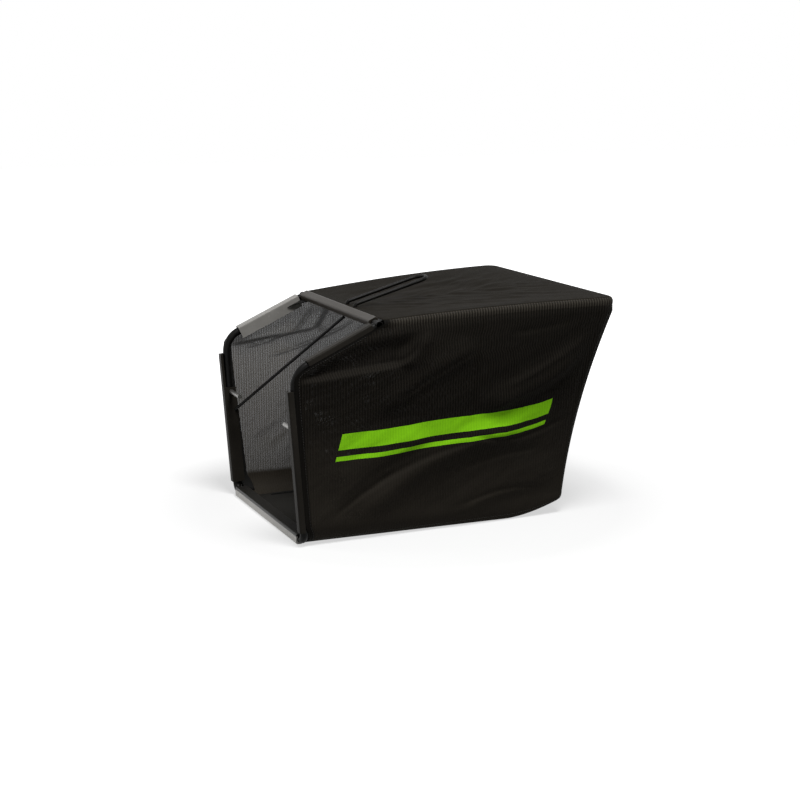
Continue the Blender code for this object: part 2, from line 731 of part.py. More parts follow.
def rear_binding(name, left):
    """Tape over the upright seam in a rear corner, on the inside."""
    grid = []
    for row in WALL_ROWS:
        turns = [seam_turn(row, BINDING_WIDTH * k) for k in (-0.4, 0.0, 0.4)]
        grid.append([side_point(row, 1.0, t) for t in turns])
    tape = behind(np.array(grid), FABRIC + 2.4 * GAP)
    return sheet(name, mirrored(tape) if left else tape, black_tape(), TAPE)


def sleeve_tape(name, left):
    """Tape that closes the sleeve under the loop, along one side."""
    angles = np.linspace(TAPE_START, TAPE_END, 7)
    shares = np.linspace(0.19, 0.985, 8)
    outer = np.array([[sleeve_point(a, s, 0.0) for s in shares] for a in angles])
    core = np.array([[loop_line(s, 0.0) for s in shares]] * len(angles))
    inner = core + (outer - core) * ((LOOP_R + GAP) / SLEEVE_R)
    if left:
        outer, inner = mirrored(outer), mirrored(inner)
    return sheet(name, outer, black_tape(), TAPE, inner)


def rear_sleeve_tape():
    """Tape that closes the sleeve under the rear of the loop."""
    angles = np.linspace(TAPE_START, TAPE_END, 7)
    shares = np.linspace(0.98, -0.98, 3)
    outer = np.array([[sleeve_point(a, 1.0, 1.0, across=s) for s in shares] for a in angles])
    core = np.array([[loop_line(1.0, 1.0) * (s, 1, 1) for s in shares]] * len(angles))
    inner = core + (outer - core) * ((LOOP_R + GAP) / SLEEVE_R)
    return sheet("loop_sleeve_rear", outer, black_tape(), TAPE, inner)


def top_loop():
    """Bent tube inside the top edge of the bag; its ends butt on the cross tube."""
    seat_height = CROSS_HEIGHT - LOOP_SEAT_DROP
    seat = LOOP_SEAT_SPAN / 2
    joined = LOOP_START + LOOP_JOGGLE
    corner = loop_line(1.0, 0.0)
    shares = [(y - LOOP_START) / (corner[1] - LOOP_START) for y in np.linspace(joined, corner[1] - 0.012, 7)]
    line = [loop_line(s, 0.0) for s in shares]
    begin = [(seat, LOOP_START, seat_height), (seat, LOOP_START + 0.010, seat_height), line[0], line[1]]
    joggle = bent_path(begin, (0.018, 0.018), 3)[:-1]
    bend = [loop_line(1.0, t) for t in np.linspace(0, 1, 7)]
    half = np.array(list(joggle) + line[1:] + bend)
    path = np.concatenate([half, mirrored(half[::-1])])
    return pipe("top_loop", path, LOOP_R, TUBE_WALL, black_steel(), 9)


def front_hoop():
    """Bent tube of the mouth: bottom, two uprights and two slopes up to the cross tube."""
    end = CROSS - UP_SLOPE * (TUBE_R + GAP)
    corners = [mirrored(end), mirrored(SHOULDER), mirrored(FOOT), FOOT, SHOULDER, end]
    path = bent_path(corners, (SHOULDER_BEND, FOOT_BEND, FOOT_BEND, SHOULDER_BEND))
    return pipe("front_hoop", path, TUBE_R, TUBE_WALL, black_steel())


def cross_tube():
    """Straight tube over the ends of the hoop."""
    half = np.array((HALF_CROSS + CROSS_OVERHANG, 0, 0))
    centre = np.array((0, CROSS[1], CROSS[2]))
    return pipe("cross_tube", (centre - half, centre + half), TUBE_R, TUBE_WALL, black_steel())


def handle_rod():
    """Hairpin carrying handle, from the back of the cross tube out through the top panel."""
    start_y = LOOP_START
    low = CROSS_HEIGHT - HANDLE_DROP
    rise_y = CROSS_SETBACK + HANDLE_RISE_SETBACK
    high = low + HANDLE_RISE
    end_y = CROSS_SETBACK + HANDLE_END_SETBACK
    pitch = np.array((0, math.cos(HANDLE_PITCH), math.sin(HANDLE_PITCH)))
    length = (end_y - rise_y) / pitch[1]
    half = HANDLE_SPAN / 2
    leg = [(half, start_y, low), (half, rise_y, low), (half, rise_y, high)]
    top = np.array((half, rise_y, high)) + pitch * (length - half)
    path = list(bent_path(leg + [top], (HANDLE_BEND, HANDLE_BEND), 4))
    for k in range(1, 5):
        angle = math.pi / 2 * k / 4
        centre = top - (half, 0, 0)
        path.append(centre + np.array((half * math.cos(angle), 0, 0)) + pitch * half * math.sin(angle))
    right = np.array(path)
    whole = np.concatenate([right, mirrored(right[-2::-1])]) + (HANDLE_OFFSET, 0, 0)
    return rod("handle_rod", whole, HANDLE_ROD / 2, black_steel(), 8)


def brace_line():
    """Both ends of the brace: under the cross tube and on the far upright."""
    lean = (BRACE_FOOT_HEIGHT - BASE_HEIGHT) * UP_RIGHT[1] / UP_RIGHT[2]
    tube = np.array((-HALF_MOUTH, lean, BRACE_FOOT_HEIGHT))
    top = np.array((BRACE_TOP_OFFSET, CROSS_SETBACK, CROSS_HEIGHT))
    along = unit(tube - top)
    section = math.hypot(along[1], along[2])
    drop = TUBE_R + GAP + BRACE_ROD / 2 * abs(along[0])
    top_end = top + along * drop / section
    off = along - UP_RIGHT * (along @ UP_RIGHT)
    reach = TUBE_R + GAP + BRACE_ROD / 2 * abs(along @ UP_RIGHT)
    return top_end, tube - along * reach / np.linalg.norm(off)


def brace_rod():
    """Straight brace across the mouth."""
    return rod("brace_rod", brace_line(), BRACE_ROD / 2, black_steel(), 10)


def peg_line(side):
    """Both ends of a hanging peg."""
    lean = (PEG_HEIGHT - BASE_HEIGHT) * UP_RIGHT[1] / UP_RIGHT[2]
    outer = np.array((side * (HALF_MOUTH - TUBE_R - GAP), lean, PEG_HEIGHT))
    return outer, outer - np.array((side * PEG_LENGTH, 0, 0))


def cutaway_block(name, side):
    """Block that takes the inner wall off the upper part of an upright channel."""
    inner_wall = HALF_MOUTH - CHANNEL_HALF
    low, high = PEG_HEIGHT + PEG_DIAMETER / 2 + GAP + CUTAWAY_ABOVE_PEG, SHOULDER_HEIGHT
    section = ((-CUTAWAY_REACH, low), (CUTAWAY_REACH, low), (CUTAWAY_REACH, high), (-CUTAWAY_REACH, high))
    corners = []
    for x in (inner_wall - CHANNEL_CORNER, inner_wall + CHANNEL_CORNER):
        corners += [(side * x, y, z) for y, z in section]
    faces = wrap_faces(2, 4) + [(0, 1, 2, 3), (4, 5, 6, 7)]
    return add_object(name, corners, faces, black_tape())


def upright_channel(name, side):
    """Channel of an upright, with a hole for the peg and, on the left, one for the brace."""
    flip = np.array((side, 1, 1))
    bend = FOOT_BEND + CHANNEL_END_GAP
    turn = math.acos(float(UP_RIGHT @ UP_SLOPE))
    start = FOOT + UP_CHANNEL * bend
    length = SHOULDER_HEIGHT - BASE_HEIGHT - SHOULDER_BEND * math.tan(turn / 2)
    end = FOOT + UP_CHANNEL * (length - CHANNEL_END_GAP)
    made = channel(name, start * flip, end * flip, (-side, 0, 0), INTO_BAG_CHANNEL)
    outer, inner = peg_line(side)
    cut_hole(made, name + "_peg_hole", outer, inner, PEG_DIAMETER / 2 + GAP)
    subtract(made, cutaway_block(name + "_cutaway", side))
    if side < 0:
        top, foot = brace_line()
        near = foot + unit(top - foot) * 0.030
        far = foot - unit(top - foot) * 0.001
        cut_hole(made, name + "_brace_hole", far, near, BRACE_ROD / 2 + GAP)
    return made


def slope_channel(name, side):
    """Channel of a slope, between the shoulder bend and the cross tube."""
    flip = np.array((side, 1, 1))
    turn = math.acos(float(UP_RIGHT @ UP_SLOPE))
    start = SHOULDER + UP_SLOPE * (SHOULDER_BEND * math.tan(turn / 2) + CHANNEL_END_GAP)
    end = CROSS - UP_SLOPE * SLOPE_CHANNEL_STOP
    inwards = unit(np.cross(UP_SLOPE, INTO_BAG_SLOPE))
    if inwards[0] > 0:
        inwards = -inwards
    return channel(name, start * flip, end * flip, inwards * flip, INTO_BAG_SLOPE)


def bottom_channel():
    half = np.array((BOTTOM_CHANNEL_LENGTH / 2, 0, 0))
    centre = np.array((0, 0, BASE_HEIGHT))
    return channel("bottom_channel", centre - half, centre + half, (0, 0, 1), (0, 1, 0))


def top_channel():
    half = np.array((TOP_CHANNEL_LENGTH / 2, 0, 0))
    centre = np.array((TOP_CHANNEL_SHIFT, CROSS[1], CROSS[2]))
    return channel("top_channel", centre - half, centre + half, DOWN_SLOPE, INTO_BAG_SLOPE, CHANNEL_GRIP)


def corner_patch(name, side):
    """Small web in an upper corner of the mouth, behind the channel walls."""
    across_out = HALF_CROSS - CHANNEL_HALF - 2 * GAP
    near = CHANNEL_BORE + GAP
    far = near + PATCH_SLOPE_LEG
    inner = across_out - PATCH_CROSS_LEG
    outline = [(across_out, near), (across_out, far)]
    for k in range(1, 6):
        share = k / 6
        pull = 0.30 * math.sin(math.pi * share)
        x = across_out - PATCH_CROSS_LEG * (share - pull * share * (1 - share))
        w = far - PATCH_SLOPE_LEG * (share + pull * (1 - share))
        outline.append((x, max(near + 0.0004, w)))
    outline.append((inner, near))
    centre = np.array((0, CROSS[1], CROSS[2]))
    points = []
    for depth in (CHANNEL_GRIP + GAP, CHANNEL_GRIP + GAP + TAPE):
        for x, w in outline:
            points.append(centre + np.array((x * side, 0, 0)) + DOWN_SLOPE * w + INTO_BAG_SLOPE * depth)
    count = len(outline)
    faces = wrap_faces(2, count) + [tuple(range(count)), tuple(range(count, 2 * count))]
    return add_object(name, points, faces, black_tape())


front_hoop()
cross_tube()
top_loop()
handle_rod()
brace_rod()
for label, sign in (("left", -1), ("right", 1)):
    rod("hang_peg_" + label, peg_line(sign), PEG_DIAMETER / 2, bright_steel(), 12)
    upright_channel("upright_channel_" + label, sign)
    slope_channel("slope_channel_" + label, sign)
    corner_patch("corner_patch_" + label, sign)
    side_panel("side_panel_" + label, sign < 0)
    mouth_hem("mouth_hem_" + label, sign < 0)
    floor_binding("floor_binding_" + label, sign < 0)
    rear_binding("rear_binding_" + label, sign < 0)
    sleeve_tape("loop_sleeve_" + label, sign < 0)
bottom_channel()
top_channel()
bottom_panel()
top_panel()
rear_panel()
rear_sleeve_tape()
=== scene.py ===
# %% [markdown]
# # A grass catcher for a walk-behind mower
# The object is a bag of dark woven mesh. It hangs from a bent steel tube that also
# frames the mouth, and clip channels of grey plastic pinch the cloth onto that tube. A
# second tube runs in a sleeve round the top edge and holds the bag open.
# The frame and a plain solid of each cloth panel are already there. Here each piece
# gets the shape and finish that the eye expects.

# %% Load the finished frame
from math import acos, atan, copysign, cos, exp, hypot, pi, radians, sin, sqrt, tan

import bpy
import numpy as np
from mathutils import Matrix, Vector, noise


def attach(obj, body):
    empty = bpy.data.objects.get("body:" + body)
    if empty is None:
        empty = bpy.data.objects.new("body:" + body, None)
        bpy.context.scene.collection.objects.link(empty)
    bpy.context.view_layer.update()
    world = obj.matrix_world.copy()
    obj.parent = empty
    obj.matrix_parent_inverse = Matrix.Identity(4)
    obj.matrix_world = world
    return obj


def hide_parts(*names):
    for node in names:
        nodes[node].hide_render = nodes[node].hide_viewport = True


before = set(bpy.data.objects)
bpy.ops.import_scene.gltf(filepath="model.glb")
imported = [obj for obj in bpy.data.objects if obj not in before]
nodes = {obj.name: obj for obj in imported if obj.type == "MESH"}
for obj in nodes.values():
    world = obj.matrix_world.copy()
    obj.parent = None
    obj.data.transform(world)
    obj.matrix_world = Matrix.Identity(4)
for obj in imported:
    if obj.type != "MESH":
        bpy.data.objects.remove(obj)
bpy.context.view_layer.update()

studio = bpy.context.scene
print("pieces in the frame:", len(nodes))

# %% [markdown]
# ## Camera
# The camera stands to the right of the mouth, about two and a half metres away and a
# little above the bag. A long lens keeps the far side of the mouth nearly as large as
# the near one. The place was found by lining up the tubes of the mouth.


# %% Set up the camera
def put_in_scene(name, data):
    """A new object in the scene, from a mesh, a curve, a lamp or a camera."""
    piece = bpy.data.objects.new(name, data)
    studio.collection.objects.link(piece)
    return piece


camera_data = bpy.data.cameras.new("camera")
camera_data.sensor_width = 36.0
camera_data.lens = 73.08
camera = put_in_scene("camera", camera_data)
camera.location = (2.4026, -0.8185, 0.7433)
aim = Vector((-0.0009, 0.2315, 0.1762)) - camera.location
camera.rotation_euler = aim.to_track_quat("-Z", "Y").to_euler()
studio.camera = camera
print("camera to bag:", round(aim.length, 3), "m")

# %% [markdown]
# ## Helpers for finishes
# A finish is a small tree of nodes: coordinates feed a pattern, the pattern feeds the
# colour, the roughness and the bump of one Principled shader. Numbers that are the same
# all over a surface are typed on the shader itself.


# %% Helpers for node trees
def new_finish(name, roughness, metallic=0.0, specular=0.5):
    """An empty finish with one shader, whose fixed numbers sit on its own sockets."""
    finish = bpy.data.materials.new(name)
    finish.use_nodes = True
    shader = finish.node_tree.nodes["Principled BSDF"]
    fixed = {"Roughness": roughness, "Metallic": metallic, "Specular IOR Level": specular}
    for socket, value in fixed.items():
        shader.inputs[socket].default_value = value
    return finish, finish.node_tree, shader


def add_node(tree, kind, inputs=None, **settings):
    """Adds a node. Inputs are numbers, colours or sockets of other nodes."""
    node = tree.nodes.new("ShaderNode" + kind)
    for key, value in settings.items():
        setattr(node, key, value)
    for key, value in (inputs or {}).items():
        if isinstance(value, bpy.types.NodeSocket):
            tree.links.new(value, node.inputs[key])
        else:
            node.inputs[key].default_value = value
    return node


def maths(tree, operation, first, second=0.0, third=0.0, clamp=False):
    """One sum in a node tree, given back as its output socket."""
    node = add_node(tree, "Math", {0: first, 1: second, 2: third}, operation=operation)
    node.use_clamp = clamp
    return node.outputs[0]


def product(tree, *factors):
    result = factors[0]
    for factor in factors[1:]:
        result = maths(tree, "MULTIPLY", result, factor)
    return result


def ramp(tree, value, slope, start):
    """A straight line through a value, held between 0 and 1."""
    return maths(tree, "MULTIPLY_ADD", value, slope, start, True)


def mix_colours(tree, share, first, second):
    node = add_node(tree, "MixRGB", {"Fac": share, "Color1": first, "Color2": second})
    return node.outputs["Color"]


def remap(tree, value, low, high):
    """A share from 0 to 1 stretched to the range from low to high."""
    inputs = {"Value": value, "To Min": low, "To Max": high}
    return add_node(tree, "MapRange", inputs).outputs["Result"]


def on_object(tree):
    """The place on the object, in metres."""
    return add_node(tree, "TexCoord").outputs["Object"]


def grain(tree, place, scale, detail=2.0, roughness=0.5):
    """Uneven spots, from 0 to 1, with about this many to the metre."""
    inputs = {"Vector": place, "Scale": scale, "Detail": detail, "Roughness": roughness}
    return add_node(tree, "TexNoise", inputs).outputs["Fac"]


def feed(tree, shader, colour, roughness=None):
    """Gives the shader its colour and, where it varies, its roughness."""
    tree.links.new(colour, shader.inputs["Base Color"])
    if roughness is not None:
        tree.links.new(roughness, shader.inputs["Roughness"])


def add_bump(tree, shader, height, strength, distance):
    """Lets a pattern stand up from the surface."""
    inputs = {"Height": height, "Strength": strength, "Distance": distance}
    bump = add_node(tree, "Bump", inputs)
    tree.links.new(bump.outputs["Normal"], shader.inputs["Normal"])


print("helpers ready")

# %% [markdown]
# ## Painted tube
# The tubes, the handle and the brace are powder coated black. Powder coat has a fine
# orange peel, it is a little duller where hands and the mower rub it, and grey dust
# stays on it. Noise at two sizes gives these.


# %% Painted tube
def powder_coat():
    finish, tree, shader = new_finish("black_powder_coat", 0.34, 0.0, 0.08)
    place = on_object(tree)
    rubbed = grain(tree, place, 22.0, 6.0, 0.7)
    dusty = ramp(tree, rubbed, 5.0, -2.6)
    colour = mix_colours(tree, dusty, (0.0036, 0.0034, 0.0031, 1), (0.0105, 0.0098, 0.0087, 1))
    feed(tree, shader, colour, remap(tree, rubbed, 0.3, 0.5))
    add_bump(tree, shader, grain(tree, place, 900.0), 0.25, 0.0002)
    return finish


black_powder_coat = powder_coat()
print("made", black_powder_coat.name)

# %% [markdown]
# ## Clip channels and pegs
# The channels are extruded plastic with a satin skin. Handling leaves fine scuffs along
# them, and dust pales them. The left slope is painted paler than the uprights, a painted
# highlight on its upward face, the top one is warmer, and the bottom one carries a
# painted reflection of the white floor on its front, with scuffs, and keeps the
# plastic's own dark colour on top. The pegs are zinc plated steel, pale and a little
# cloudy.


# %% Clip channels and pegs
# The plastic's own dark colour above a painted reflection, and the width of the reflection's upper
# edge.
OWN_DARK_PLASTIC, REFLECTION_EDGE = (0.01, 0.0093, 0.0082, 1), 1 / 900


def channel_plastic(name, dark, pale, specular, clouding=14.0, reflection_up_to=None):
    """Scuffed plastic; if a height is given, the colour below it is a painted reflection and above it
    the plastic is plain dark.
    """
    finish, tree, shader = new_finish(name, 0.36, 0.0, specular)
    place = on_object(tree)
    clouds = grain(tree, place, clouding, 5.0, 0.6)
    scuffs = ramp(tree, grain(tree, place, 160.0, 3.0, 0.7), 6.0, -3.6)
    share = maths(tree, "ADD", clouds, product(tree, scuffs, 0.5), clamp=True)
    colour = mix_colours(tree, share, dark, pale)
    # Above the given height the painted reflection ends and the plastic keeps its own dark colour.
    if reflection_up_to:
        height = add_node(tree, "SeparateXYZ", {0: place}).outputs["Z"]
        above_reflection = ramp(tree, height, 1 / REFLECTION_EDGE, -reflection_up_to / REFLECTION_EDGE)
        colour = mix_colours(tree, above_reflection, colour, OWN_DARK_PLASTIC)
    feed(tree, shader, colour, remap(tree, clouds, 0.28, 0.48))
    add_bump(tree, shader, grain(tree, place, 1500.0, 1.0), 0.2, 0.0002)
    return finish


def zinc_plate():
    finish, tree, shader = new_finish("zinc_plate", 0.33, 0.85, 0.5)
    place = on_object(tree)
    clouds = grain(tree, place, 180.0, 4.0)
    colour = mix_colours(tree, clouds, (0.16, 0.157, 0.15, 1), (0.29, 0.285, 0.272, 1))
    feed(tree, shader, colour)
    add_bump(tree, shader, clouds, 0.15, 0.0002)
    return finish


# The left slope's finish is a paler copy of the same plastic: a painted highlight of the light its
# upward face catches.
painted_highlight_plastic = channel_plastic(
    "painted_highlight_plastic", (0.135, 0.13, 0.12, 1), (0.29, 0.281, 0.264, 1), specular=0.4, clouding=18.0
)
# The bottom channel's pale front is a painted reflection of the white floor, with scuffs; above the
# height it is the plastic's own dark colour.
painted_reflection_plastic = channel_plastic(
    "painted_reflection_plastic", (0.42, 0.405, 0.38, 1), (0.72, 0.7, 0.665, 1),
    specular=0.3, clouding=9.0, reflection_up_to=0.0118,
)
warm_plastic = channel_plastic(
    "warm_plastic", (0.0145, 0.0118, 0.0088, 1), (0.029, 0.0243, 0.0192, 1), specular=0.14
)
dark_plastic = channel_plastic(
    "dark_plastic", (0.008, 0.007, 0.0057, 1), (0.024, 0.0213, 0.0176, 1), specular=0.03
)
zinc = zinc_plate()
print("made 4 plastics and", zinc.name)

# %% [markdown]
# ## Mesh cloth
# The sides and the rear are an open weave that lets air out and keeps the clippings
# in. Every few millimetres a thicker thread stands up as a rib, and between the ribs
# are rows of tiny holes. The holes are made with the shader's alpha, so the far side
# glows grey when light is behind it. The pattern follows a map in metres that is laid
# out on each panel, so the ribs bend with the folds. Three numbers are stored on each
# point of the cloth: "open" says how far the holes are open there, because a crease
# closes them, "hem" is 1 where the edge is turned in and doubled, and the third is 1
# where the cloth rolls over the loop, where the ribs are painted pale: rubbing wear and
# a painted highlight of the lit roll. Dust and a painted highlight make the cloth paler
# where it faces up, the cloth is paler towards the floor, and grass dust clings near
# the mouth.


# %% Mesh cloth
RIB_PITCH, HOLE_PITCH = 0.0044, 0.0017
# The first pale colour serves dust and a painted highlight; the second paints ribs pale over the loop,
# rubbing wear and a painted highlight.
DUST_AND_HIGHLIGHT, WEAR_AND_HIGHLIGHT = (0.026, 0.0225, 0.0178, 1), (0.056, 0.05, 0.0405, 1)
HEM_BLACK = (0.004, 0.0037, 0.0033, 1)
# How much dust and painted highlight cloth takes where it faces up, how pale it is at the floor, and
# how fast that fades upwards.
DUST_AND_HIGHLIGHT_ON_TOP, PALE_AT_FLOOR, PALE_FADE = 0.2, 0.95, 4.6


def cloth_map(tree):
    """The two directions of the cloth, in metres."""
    place = add_node(tree, "UVMap", uv_map="cloth").outputs["UV"]
    parts = add_node(tree, "SeparateXYZ", {0: place})
    return place, parts.outputs["X"], parts.outputs["Y"]


def wave01(tree, along, pitch):
    """A wave from 0 to 1 with the given pitch."""
    wave = maths(tree, "SINE", product(tree, along, 2 * pi / pitch))
    return maths(tree, "MULTIPLY_ADD", wave, 0.5, 0.5)


def stored(tree, name):
    """A number that the cloth stores on its points."""
    return add_node(tree, "Attribute", attribute_name=name).outputs["Fac"]


def dust_highlight_and_floor_paling(tree, up):
    """Share of the paler colour: dust and a painted highlight on what faces up, and most near the
    floor.
    """
    facing = add_node(tree, "SeparateXYZ", {0: add_node(tree, "TexCoord").outputs["Normal"]})
    # Dust and a painted highlight: the cloth is paler as its normal turns up.
    dust_and_highlight_on_top = ramp(tree, facing.outputs["Z"], DUST_AND_HIGHLIGHT_ON_TOP, 0.0)
    paler_near_floor = ramp(tree, up, -PALE_FADE, PALE_AT_FLOOR)
    return maths(tree, "ADD", dust_and_highlight_on_top, paler_near_floor, clamp=True)


def mesh_colour(tree, place, up, ribs, thread, rib):
    """Threads, paler ribs, dust, paler cloth facing up (dust and painted highlight) and near the floor,
    and ribs painted pale over the loop (rubbing wear and painted highlight).
    """
    dust = grain(tree, place, 16.0, 6.0, 0.65)
    shade = maths(tree, "ADD", maths(tree, "POWER", ribs, 3.0), product(tree, dust, 0.35), clamp=True)
    colour = mix_colours(tree, shade, thread, rib)
    # Dust and a painted highlight where the cloth faces up, and paler towards the floor.
    colour = mix_colours(tree, dust_highlight_and_floor_paling(tree, up), colour, DUST_AND_HIGHLIGHT)
    tops = maths(tree, "MULTIPLY_ADD", maths(tree, "POWER", ribs, 2.0), 0.75, 0.15)
    # Ribs painted pale where the cloth rolls over the loop: a painted highlight of the lit roll, with
    # rubbing wear.
    colour = mix_colours(tree, product(tree, stored(tree, "worn"), tops), colour, WEAR_AND_HIGHLIGHT)
    return mix_colours(tree, product(tree, stored(tree, "hem"), 0.8), colour, HEM_BLACK)


def add_print(tree, printed, place, along, up, ribs, colour, opening):
    """Grass dust near the mouth, the print itself, and the coat that closes the weave."""
    near_mouth, low = ramp(tree, along, -8.0, 1.35), ramp(tree, up, -7.0, 1.9)
    off_hem = maths(tree, "SUBTRACT", 0.3, stored(tree, "hem"))
    grassy = maths(tree, "MULTIPLY", product(tree, near_mouth, low), off_hem, clamp=True)
    colour = mix_colours(tree, grassy, colour, DUST_AND_HIGHLIGHT)
    mask = printed(tree, along, up)
    ink = mix_colours(tree, product(tree, ribs, 0.5), PRINT_GREEN, PRINT_SHADE)
    colour = mix_colours(tree, mask, colour, ink)
    thin = ramp(tree, grain(tree, place, 26.0, 3.0, 0.6), 7.0, -3.7)
    coating = maths(tree, "MULTIPLY_ADD", product(tree, thin, near_mouth), 1.3, 0.12)
    return colour, product(tree, opening, maths(tree, "SUBTRACT", 1.0, mask), coating)


def mesh_cloth(name, thread, rib, sharpness, clear, printed=None):
    """A ribbed mesh. A sharp hole has a hard edge, and a clear one lets much through."""
    finish, tree, shader = new_finish(name, 0.62, 0.0, 0.02)
    place, along, up = cloth_map(tree)
    ribs, rows = wave01(tree, along, RIB_PITCH), wave01(tree, up, HOLE_PITCH)
    between = maths(tree, "MULTIPLY_ADD", maths(tree, "POWER", ribs, 1.6), -0.42, 1.0)
    weave = product(tree, between, product(tree, rows, wave01(tree, along, RIB_PITCH / 3)))
    holes = ramp(tree, weave, sharpness, 0.65 - 0.7 * sharpness)
    colour = mesh_colour(tree, place, up, ribs, thread, rib)
    off_hem = maths(tree, "SUBTRACT", 1.0, stored(tree, "hem"))
    opening = product(tree, stored(tree, "open"), off_hem)
    if printed:
        colour, opening = add_print(tree, printed, place, along, up, ribs, colour, opening)
    feed(tree, shader, colour)
    see_through = product(tree, holes, opening, clear)
    tree.links.new(maths(tree, "SUBTRACT", 1.0, see_through, clamp=True), shader.inputs["Alpha"])
    add_bump(tree, shader, maths(tree, "ADD", ribs, product(tree, rows, 0.35)), 0.55, 0.0004)
    return finish


print("ribs every", RIB_PITCH * 1000, "mm, rows of holes every", HOLE_PITCH * 1000, "mm")

# %% [markdown]
# ## Printed stripes
# The print on the side is plain: a broad stripe with a thin one under it, both with
# slanted ends, in a fresh green. It is a mask in the cloth's own map, so it lies in
# the weave and follows the folds. The ink closes the holes, and the ribs still show in
# it. The printed cloth is coated first, which nearly closes its weave; the coat is thin
# in spots near the mouth, where some light comes through. The other side is left bare
# and open.

# %% Printed stripes
PRINT_GREEN = (0.25, 0.646, 0.0115, 1)
PRINT_SHADE = (0.19, 0.531, 0.0092, 1)
STRIPES = ((0.163, 0.188), (0.146, 0.153))
STRIPE_ENDS, STRIPE_RISE, STRIPE_SLANT = (0.007, 0.363), 0.028, 0.28
INK_EDGE = 0.0004


def step_up(tree, value, edge):
    """0 below the edge and 1 above it, with a step as wide as the ink's soft edge."""
    past = maths(tree, "SUBTRACT", value, edge - INK_EDGE / 2)
    return maths(tree, "DIVIDE", past, INK_EDGE, clamp=True)


def band(tree, value, low, high):
    """1 between two edges and 0 outside."""
    return maths(tree, "SUBTRACT", step_up(tree, value, low), step_up(tree, value, high))


def stripes(tree, along, up):
    """1 inside the stripes and 0 outside."""
    level = maths(tree, "SUBTRACT", up, product(tree, along, STRIPE_RISE))
    slanted = maths(tree, "SUBTRACT", along, product(tree, level, STRIPE_SLANT))
    broad, thin = (band(tree, level, *edges) for edges in STRIPES)
    both = maths(tree, "ADD", broad, thin)
    return maths(tree, "MULTIPLY", both, band(tree, slanted, *STRIPE_ENDS), clamp=True)


THREAD, RIB = (0.0028, 0.0024, 0.0018, 1), (0.0125, 0.0108, 0.0086, 1)
BARE_THREAD, BARE_RIB = (0.011, 0.0088, 0.0058, 1), (0.04, 0.0325, 0.0225, 1)
bare_mesh = mesh_cloth("bare_mesh", BARE_THREAD, BARE_RIB, sharpness=1.3, clear=0.43)
printed_mesh = mesh_cloth("printed_mesh", THREAD, RIB, sharpness=1.8, clear=0.62, printed=stripes)
print("made", bare_mesh.name, "and", printed_mesh.name, "with", len(STRIPES), "stripes")

# %% [markdown]
# ## Tighter cloths
# The top is a close plain weave and paler than the sides, the bottom is coated so that
# wet grass slides on it, and the tapes are a ribbed black webbing. One recipe serves
# the first two: two crossed waves, a little dust, and a bump.


# %% Tighter cloths
def close_weave(name, dark, pale, pitch, roughness, bump, specular):
    finish, tree, shader = new_finish(name, roughness, 0.0, specular)
    place, along, up = cloth_map(tree)
    weave = product(tree, wave01(tree, along, pitch), wave01(tree, up, pitch))
    dust = grain(tree, place, 12.0, 7.0, 0.6)
    share = maths(tree, "ADD", product(tree, weave, 0.45), product(tree, dust, 0.5), clamp=True)
    uneven = remap(tree, dust, roughness - 0.1, roughness + 0.1)
    feed(tree, shader, mix_colours(tree, share, dark, pale), uneven)
    add_bump(tree, shader, weave, bump, 0.0003)
    return finish


def webbing():
    finish, tree, shader = new_finish("black_webbing", 0.8, 0.0, 0.1)
    place = on_object(tree)
    parts = add_node(tree, "SeparateXYZ", {0: place})
    ribs = wave01(tree, maths(tree, "ADD", parts.outputs["Z"], parts.outputs["Y"]), 0.0012)
    colour = mix_colours(tree, ribs, (0.004, 0.004, 0.0037, 1), (0.01, 0.0096, 0.009, 1))
    feed(tree, shader, colour)
    add_bump(tree, shader, ribs, 0.4, 0.0003)
    return finish


def sewing_thread():
    finish, tree, shader = new_finish("sewing_thread", 0.55, 0.0, 0.2)
    place = on_object(tree)
    worn = grain(tree, place, 60.0, 3.0)
    colour = mix_colours(tree, worn, (0.008, 0.0076, 0.007, 1), (0.032, 0.03, 0.027, 1))
    feed(tree, shader, colour)
    add_bump(tree, shader, grain(tree, place, 2500.0, 1.0), 0.3, 0.0001)
    return finish


top_weave = close_weave(
    "top_weave", (0.004, 0.0034, 0.0025, 1), (0.0165, 0.0141, 0.0107, 1),
    pitch=0.0016, roughness=0.68, bump=0.4, specular=0.02,
)
coated_weave = close_weave(
    "coated_weave", (0.01, 0.0096, 0.0088, 1), (0.026, 0.025, 0.0225, 1),
    pitch=0.0022, roughness=0.5, bump=0.3, specular=0.04,
)
black_webbing = webbing()
thread_finish = sewing_thread()
print("made", top_weave.name, coated_weave.name, black_webbing.name, thread_finish.name)

# %% [markdown]
# ## Measures of the frame
# The cloth has to meet the frame exactly, so its form is drawn from the frame's own
# measures: where the tubes run, how wide the rear is, how high the loop sits.

# %% Measures of the frame
MOUTH_WIDTH, SHOULDER_HEIGHT, SHOULDER_LEAN = 0.33, 0.271, 0.015
CROSS_WIDTH, CROSS_HEIGHT, CROSS_SETBACK = 0.324, 0.3345, 0.124
TUBE_R, LOOP_R, FABRIC, GAP = 0.00635, 0.00635, 0.0012, 0.0003
FOOT_BEND, SHOULDER_BEND = 0.014, 0.036
CHANNEL_HALF, CHANNEL_GRIP, CHANNEL_LEAN = 0.0083, 0.001, 0.02
REAR_TOP_WIDTH, REAR_TOP_SETBACK, REAR_TOP_HEIGHT = 0.437, 0.5125, 0.3615
REAR_BASE_WIDTH, REAR_BASE_SETBACK, REAR_BASE_HEIGHT = 0.319, 0.452, 0.023
REAR_MIDDLE_HEIGHT, REAR_BELLY, LOOP_CROWN, LOOP_CORNER = 0.01, 0.064, 1.8, 0.015
FLOOR_REACH, FLOOR_ROUND, CORNER_REACH, CORNER_ROUND = 0.034, 0.038, 0.006, 0.014
